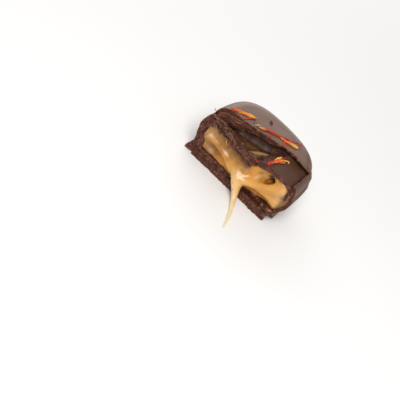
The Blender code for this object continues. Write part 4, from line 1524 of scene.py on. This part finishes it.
# Broken bits in the hollow in mm: (x, y) and the half size of each heap
DEBRIS = (
    (-1.3, 5.9, 0.5), (-5.2, 4.4, 0.35), (-3.2, 3.6, 0.3), (0.4, 2.9, 0.42),
    (1.9, 3.4, 0.35), (2.6, 2.6, 0.45), (-6.6, 3.4, 0.3),
)
BITS_IN_HEAP = 5
# No crumbs lie further out than this, so that the string stays clean
CRUMBS_FROM_Y = -1.6
# Specks in the caramel in mm: (x, z) on its face, (x, y) on the string, and the half size
FACE_SPECKS = (
    (-1.6, 8.4, 0.17), (-1.0, 8.1, 0.1), (1.7, 4.7, 0.15),
    (2.7, 3.3, 0.2), (11.8, 7.4, 0.12), (13.3, 9.7, 0.1),
)
STRING_SPECKS = ((5.5, -4.9, 0.12), (7.4, -10.2, 0.07))


def add_lump(work, middle, size, rng):
    """A small rough lump with few faces."""
    made = bmesh.ops.create_icosphere(work, subdivisions=1, radius=size)
    squash = Matrix.Diagonal((1.0, rng.uniform(0.5, 1.0), rng.uniform(0.4, 0.9)))
    angle, lean_x, lean_y = draw(rng, (0, 6.28), (-1, 1), (-1, 1))
    turn = Matrix.Rotation(angle, 3, Vector((lean_x, lean_y, 1)).normalized())
    for vertex in made["verts"]:
        rough = vertex.co * rng.uniform(0.65, 1.25)
        vertex.co = turn @ (squash @ rough) + middle


def lumps_piece(name, work, material, slot):
    mesh = bpy.data.meshes.new(name)
    work.to_mesh(mesh)
    work.free()
    mesh.materials.append(material)
    piece = placed(name, mesh)
    mark_relief_light(piece, 0.22)
    settle(piece, slot)


class CARAMEL_OT_crumbs(bpy.types.Operator):
    """Chocolate crumbs on the cut, and burnt specks in the caramel"""

    bl_idname = "caramel.crumbs"
    bl_label = "Crumbs and specks"

    def execute(self, context):
        look = context.scene.caramel_look
        rng = random.Random(5)
        under_crumbs = ("coat", "slab", "shard", "flap", "edge", "right_lip", "left_rags", "filling")
        ground = finished_skin(*under_crumbs)
        work = bmesh.new()
        for count, smallest, largest, low, high, way in CRUMB_PATCHES:
            for _ in range(count):
                a, b = draw(rng, *zip(low, high))
                start = Vector((a, -30.0, b)) if way is FROM_FRONT else Vector((a, b, 30.0))
                hit = ground.ray_cast(start, way)
                size = smallest + (largest - smallest) * rng.random() ** 2
                if hit[0] and hit[0].y > CRUMBS_FROM_Y:
                    add_lump(work, hit[0] + hit[1] * size * 0.2, size, rng)
        for x, y, size in DEBRIS:
            at = Vector((x, y, top_of(ground, x, y)))
            for _ in range(BITS_IN_HEAP):
                apart = Vector(draw(rng, (-1, 1), (-1, 1), (-0.2, 0.5))) * size * 0.6
                add_lump(work, at + apart, size * rng.uniform(0.4, 0.9), rng)
        lumps_piece("crumbs", work, coat_materials(look)[1], "broken")
        caramel = finished_skin("filling")
        work = bmesh.new()
        for x, z, size in FACE_SPECKS:
            hit = caramel.ray_cast(Vector((x, -30.0, z)), FROM_FRONT)
            add_lump(work, hit[0] - hit[1] * size * 0.35, size, rng)
        for x, y, size in STRING_SPECKS:
            hit = caramel.ray_cast(Vector((x, y, 30.0)), FROM_ABOVE)
            if hit[0]:
                add_lump(work, hit[0] - hit[1] * size * 0.35, size, rng)
        lumps_piece("specks", work, ready("burnt_speck", burnt_speck), "caramel")
        return {"FINISHED"}


def camera_turn():
    """The camera's turn as a matrix: looking at the cut from above, and rolled as the sweet leans."""
    azimuth, elevation = math.radians(CAMERA_AZIMUTH), math.radians(CAMERA_ELEVATION)
    level = math.cos(elevation)
    away = Vector((math.sin(azimuth) * level, -math.cos(azimuth) * level, math.sin(elevation)))
    upright = (-away).to_track_quat("-Z", "Y").to_matrix()
    return upright @ Matrix.Rotation(math.radians(CAMERA_ROLL), 3, "Z")


class CARAMEL_OT_stage(bpy.types.Operator):
    """A pale floor, soft lights and the camera"""

    bl_idname = "caramel.stage"
    bl_label = "Stage"

    def execute(self, context):
        stage = context.scene.caramel_look.stage
        deselect()
        bpy.ops.mesh.primitive_plane_add(size=3.0, location=(0.0, 0.0, -FLOOR_DROP))
        floor = context.object
        floor.name = "floor"
        floor.data.materials.append(ready("studio_floor", studio_floor, stage))
        world = bpy.data.worlds.new("even_light")
        context.scene.world = world
        world.use_nodes = True
        sky = world.node_tree.nodes["Background"]
        sky.inputs["Color"].default_value = (1.0, 1.0, 1.0, 1.0)
        sky.inputs["Strength"].default_value = stage.fill
        self.soft_light("key", *KEY_LIGHT, stage.key_power)
        self.soft_light("back", *BACK_LIGHT, stage.back_power)
        self.camera(context)
        context.scene.view_settings.view_transform = "Standard"
        return {"FINISHED"}

    def soft_light(self, name, place, sides, power):
        lamp = bpy.data.lights.new(name, "AREA")
        lamp.shape = "RECTANGLE"
        lamp.size, lamp.size_y = sides
        lamp.energy = power
        lamp.color = LIGHT_COLOUR
        light = placed(name, lamp)
        light.location = place
        light.rotation_euler = (-Vector(place)).to_track_quat("-Z", "Y").to_euler()

    def camera(self, context):
        turn = camera_turn()
        right, up, away = turn.col[0], turn.col[1], turn.col[2]
        foot = Vector((0.0, -CUT_TO_MIDDLE, 0.0))
        across = (PICTURE_WIDE / 2 - CUT_FOOT_PIXEL[0]) / PIXELS_PER_MM
        down = (PICTURE_WIDE / 2 - CUT_FOOT_PIXEL[1]) / PIXELS_PER_MM
        aim = foot + right * across - up * down
        camera = placed("camera", bpy.data.cameras.new("camera"))
        camera.data.sensor_width = SENSOR
        camera.data.lens = SENSOR * CAMERA_DISTANCE / (PICTURE_WIDE / PIXELS_PER_MM)
        camera.data.clip_start = 0.01
        camera.matrix_world = Matrix.Translation((aim + away * CAMERA_DISTANCE) * MM) @ turn.to_4x4()
        context.scene.camera = camera


class CaramelLook(bpy.types.PropertyGroup):
    coat: bpy.props.PointerProperty(type=CoatSettings)
    filling: bpy.props.PointerProperty(type=FillingSettings)
    saffron: bpy.props.PointerProperty(type=SaffronSettings)
    stage: bpy.props.PointerProperty(type=StageSettings)


OPERATORS = (
    CARAMEL_OT_stage,
    CARAMEL_OT_coat,
    CARAMEL_OT_base_slab,
    CARAMEL_OT_filling,
    CARAMEL_OT_sunken_shard,
    CARAMEL_OT_bent_flap,
    CARAMEL_OT_crushed_edge,
    CARAMEL_OT_saffron,
    CARAMEL_OT_crumbs,
)


class CARAMEL_PT_panel(bpy.types.Panel):
    """Sizes and colours of the sweet, and a button for each of its pieces"""

    bl_idname = "CARAMEL_PT_panel"
    bl_label = "Cut caramel"
    bl_space_type = "VIEW_3D"
    bl_region_type = "UI"
    bl_category = "Caramel"

    def draw(self, context):
        look = context.scene.caramel_look
        for group in (look.coat, look.filling, look.saffron, look.stage):
            box = self.layout.box()
            for name in group.bl_rna.properties.keys():
                if name not in ("rna_type", "name"):
                    box.prop(group, name)
        for operator in OPERATORS:
            self.layout.operator(operator.bl_idname)


CLASSES = (
    CoatSettings, FillingSettings, SaffronSettings, StageSettings, CaramelLook, *OPERATORS, CARAMEL_PT_panel,
)


def register():
    for cls in CLASSES:
        bpy.utils.register_class(cls)
    bpy.types.Scene.caramel_look = bpy.props.PointerProperty(type=CaramelLook)


def unregister():
    del bpy.types.Scene.caramel_look
    for cls in reversed(CLASSES):
        bpy.utils.unregister_class(cls)


def main():
    register()
    bpy.ops.caramel.stage()
    bpy.ops.caramel.coat()
    bpy.ops.caramel.base_slab()
    bpy.ops.caramel.filling()
    bpy.ops.caramel.sunken_shard()
    bpy.ops.caramel.bent_flap()
    bpy.ops.caramel.crushed_edge()
    bpy.ops.caramel.saffron()
    bpy.ops.caramel.crumbs()


if __name__ == "__main__":
    main()
